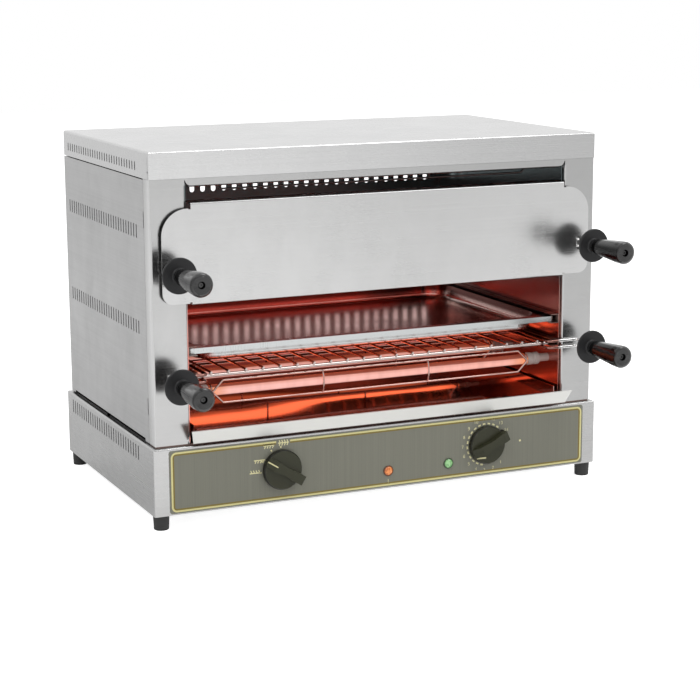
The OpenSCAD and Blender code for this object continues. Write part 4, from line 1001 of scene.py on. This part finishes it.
# a heating coil: a wire on a helix whose radius falls to nothing at both ends
def coilPart(y, z, values):
    end = layout["tubeEnd"] - 0.0005
    turns = 2 * end / values["pitch"]
    t = np.linspace(0, 1, int(turns * values["steps"]))
    x = (2 * t - 1) * end
    turn = turns * 2 * np.pi * t
    fade = np.clip((end - np.abs(x)) / values["lead"], 0.02, 1.0)
    radius = values["radius"] * fade * fade * (3 - 2 * fade)
    out = np.stack([np.zeros_like(x), np.cos(turn), np.sin(turn)], 1)
    path = np.stack([x, np.full_like(x, y), np.full_like(x, z)], 1) + out * radius[:, None]
    return sweep(path, circleProfile(values["wire"], values["sides"]), out)


# each level has four tubes, one coil in each
def makeCoils(values):
    rows = layout["caseMiddleY"] + layout["tubePitch"] * np.array([-1.5, -0.5, 0.5, 1.5])
    finishNames = ("coilLit", "coilDark", "coilDark")
    for level, z, finish in zip(("bottom", "middle", "top"), layout["tubeLevels"], finishNames):
        coils = meshObject(level + "Coils", [coilPart(y, z, values) for y in rows], finish, "case")
        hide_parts(level + "_heating_coils")


makeCoils(coilValues)
print("stage: twelve heating coils are wound")

weldValues = {"size": (0.0023, 0.0019, 0.0011), "rows": 6, "columns": 10, "bars": 21, "barInset": 0.0015,
              "crossWires": (-0.172, -0.0805, 0.1098, 0.1659), "lift": 0.0003}


# weld spots: a flattened ball wherever a bar of a rack lies on one of its four cross wires
def makeWelds(values):
    low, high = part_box("lower_rack_bars")
    barX = np.linspace(low.x + values["barInset"], high.x - values["barInset"], values["bars"])
    crossY = layout["caseMiddleY"] + np.array(values["crossWires"])
    up = np.linspace(-np.pi / 2, np.pi / 2, values["rows"] + 2)[1:-1]
    turn = np.linspace(0, 2 * np.pi, values["columns"], endpoint=False)
    ball = np.stack([np.cos(up)[:, None] * np.cos(turn), np.cos(up)[:, None] * np.sin(turn),
                     np.sin(up)[:, None] * np.ones_like(turn)], 2) * np.array(values["size"])
    pole = np.array([0, 0, values["size"][2]])
    for body in ("lower_rack", "upper_rack"):
        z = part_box(body + "_bars")[0].z + values["lift"]
        spots = np.stack(np.meshgrid(barX, crossY, [z], indexing="ij"), -1).reshape(-1, 3)
        parts = [closeEnds(*gridMesh(ball[:, ::-1] + spot), len(turn), spot - pole, spot + pole)
                 for spot in spots]
        meshObject(body.replace("_r", "R") + "Welds", parts, "rackWire", body)


makeWelds(weldValues)

screwValues = {"levels": (0.136, 0.271, 0.419), "head": 0.0036, "dome": 0.0018, "shoulder": 1.06,
               "recess": 0.0011, "blade": 0.0005, "bladeEdge": 0.0002, "reach": 0.0019, "reachEdge": 0.0004,
               "rings": 22, "sides": 48}


# a pan-head screw with a cross recess: height = dome - recess where either blade of the cross passes
def makeRearScrews(values):
    low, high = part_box("rear_screws")
    head, back = values["head"], layout["caseBack"]
    radius = np.concatenate([np.linspace(0, head, values["rings"])[1:], [head]])
    turn = np.linspace(0, 2 * np.pi, values["sides"], endpoint=False)
    across, above = radius[:, None] * np.cos(turn), radius[:, None] * np.sin(turn)
    height = values["dome"] * np.sqrt(np.clip(values["shoulder"] - (radius / head) ** 2, 0, 1))
    height[-1] = 0.0
    reach = np.clip((values["reach"] - radius) / values["reachEdge"], 0, 1)[:, None]
    nearest = np.minimum(np.abs(across), np.abs(above))
    blade = np.clip((values["blade"] - nearest) / values["bladeEdge"], 0, 1)
    height = height[:, None] - values["recess"] * reach * blade
    parts = []
    for x in (low.x + head, high.x - head):
        for z in values["levels"]:
            grid = np.stack([x + across, back + height, z + above], 2)
            middle = np.array([(x, back + values["dome"] - values["recess"], z), (x, back, z)])
            parts.append(closeEnds(*gridMesh(grid[:, ::-1]), len(turn), *middle))
    screws = meshObject("rearScrews", parts, "turnedSteel", "case")
    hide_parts("rear_screws")


makeRearScrews(screwValues)

upstandValues = {"halfLength": 0.3010, "behindLid": 0.0070, "intoPanel": 0.0005, "fromBack": 0.00255,
                 "thick": 0.0008}


# the rear panel's upstand, which closes the seam behind the lid's skirt: a flat profile along x
def makeUpstand(values):
    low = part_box("rear_panel")[1].z - values["intoPanel"]
    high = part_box("lid")[0].z + values["behindLid"]
    y, half, tall = layout["caseBack"] - values["fromBack"], values["thick"] / 2, (high - low) / 2
    path = np.array([(-values["halfLength"], y, low + tall), (values["halfLength"], y, low + tall)])
    profile = np.array([(half, -tall), (half, tall), (-half, tall), (-half, -tall)])
    strip = sweep(path, profile, np.array([0.0, 0.0, 1.0]))
    meshObject("rearUpstand", [strip], "sideSteel", "case", smooth=False)


makeUpstand(upstandValues)
print("stage: welds, screws and the rear upstand are set")
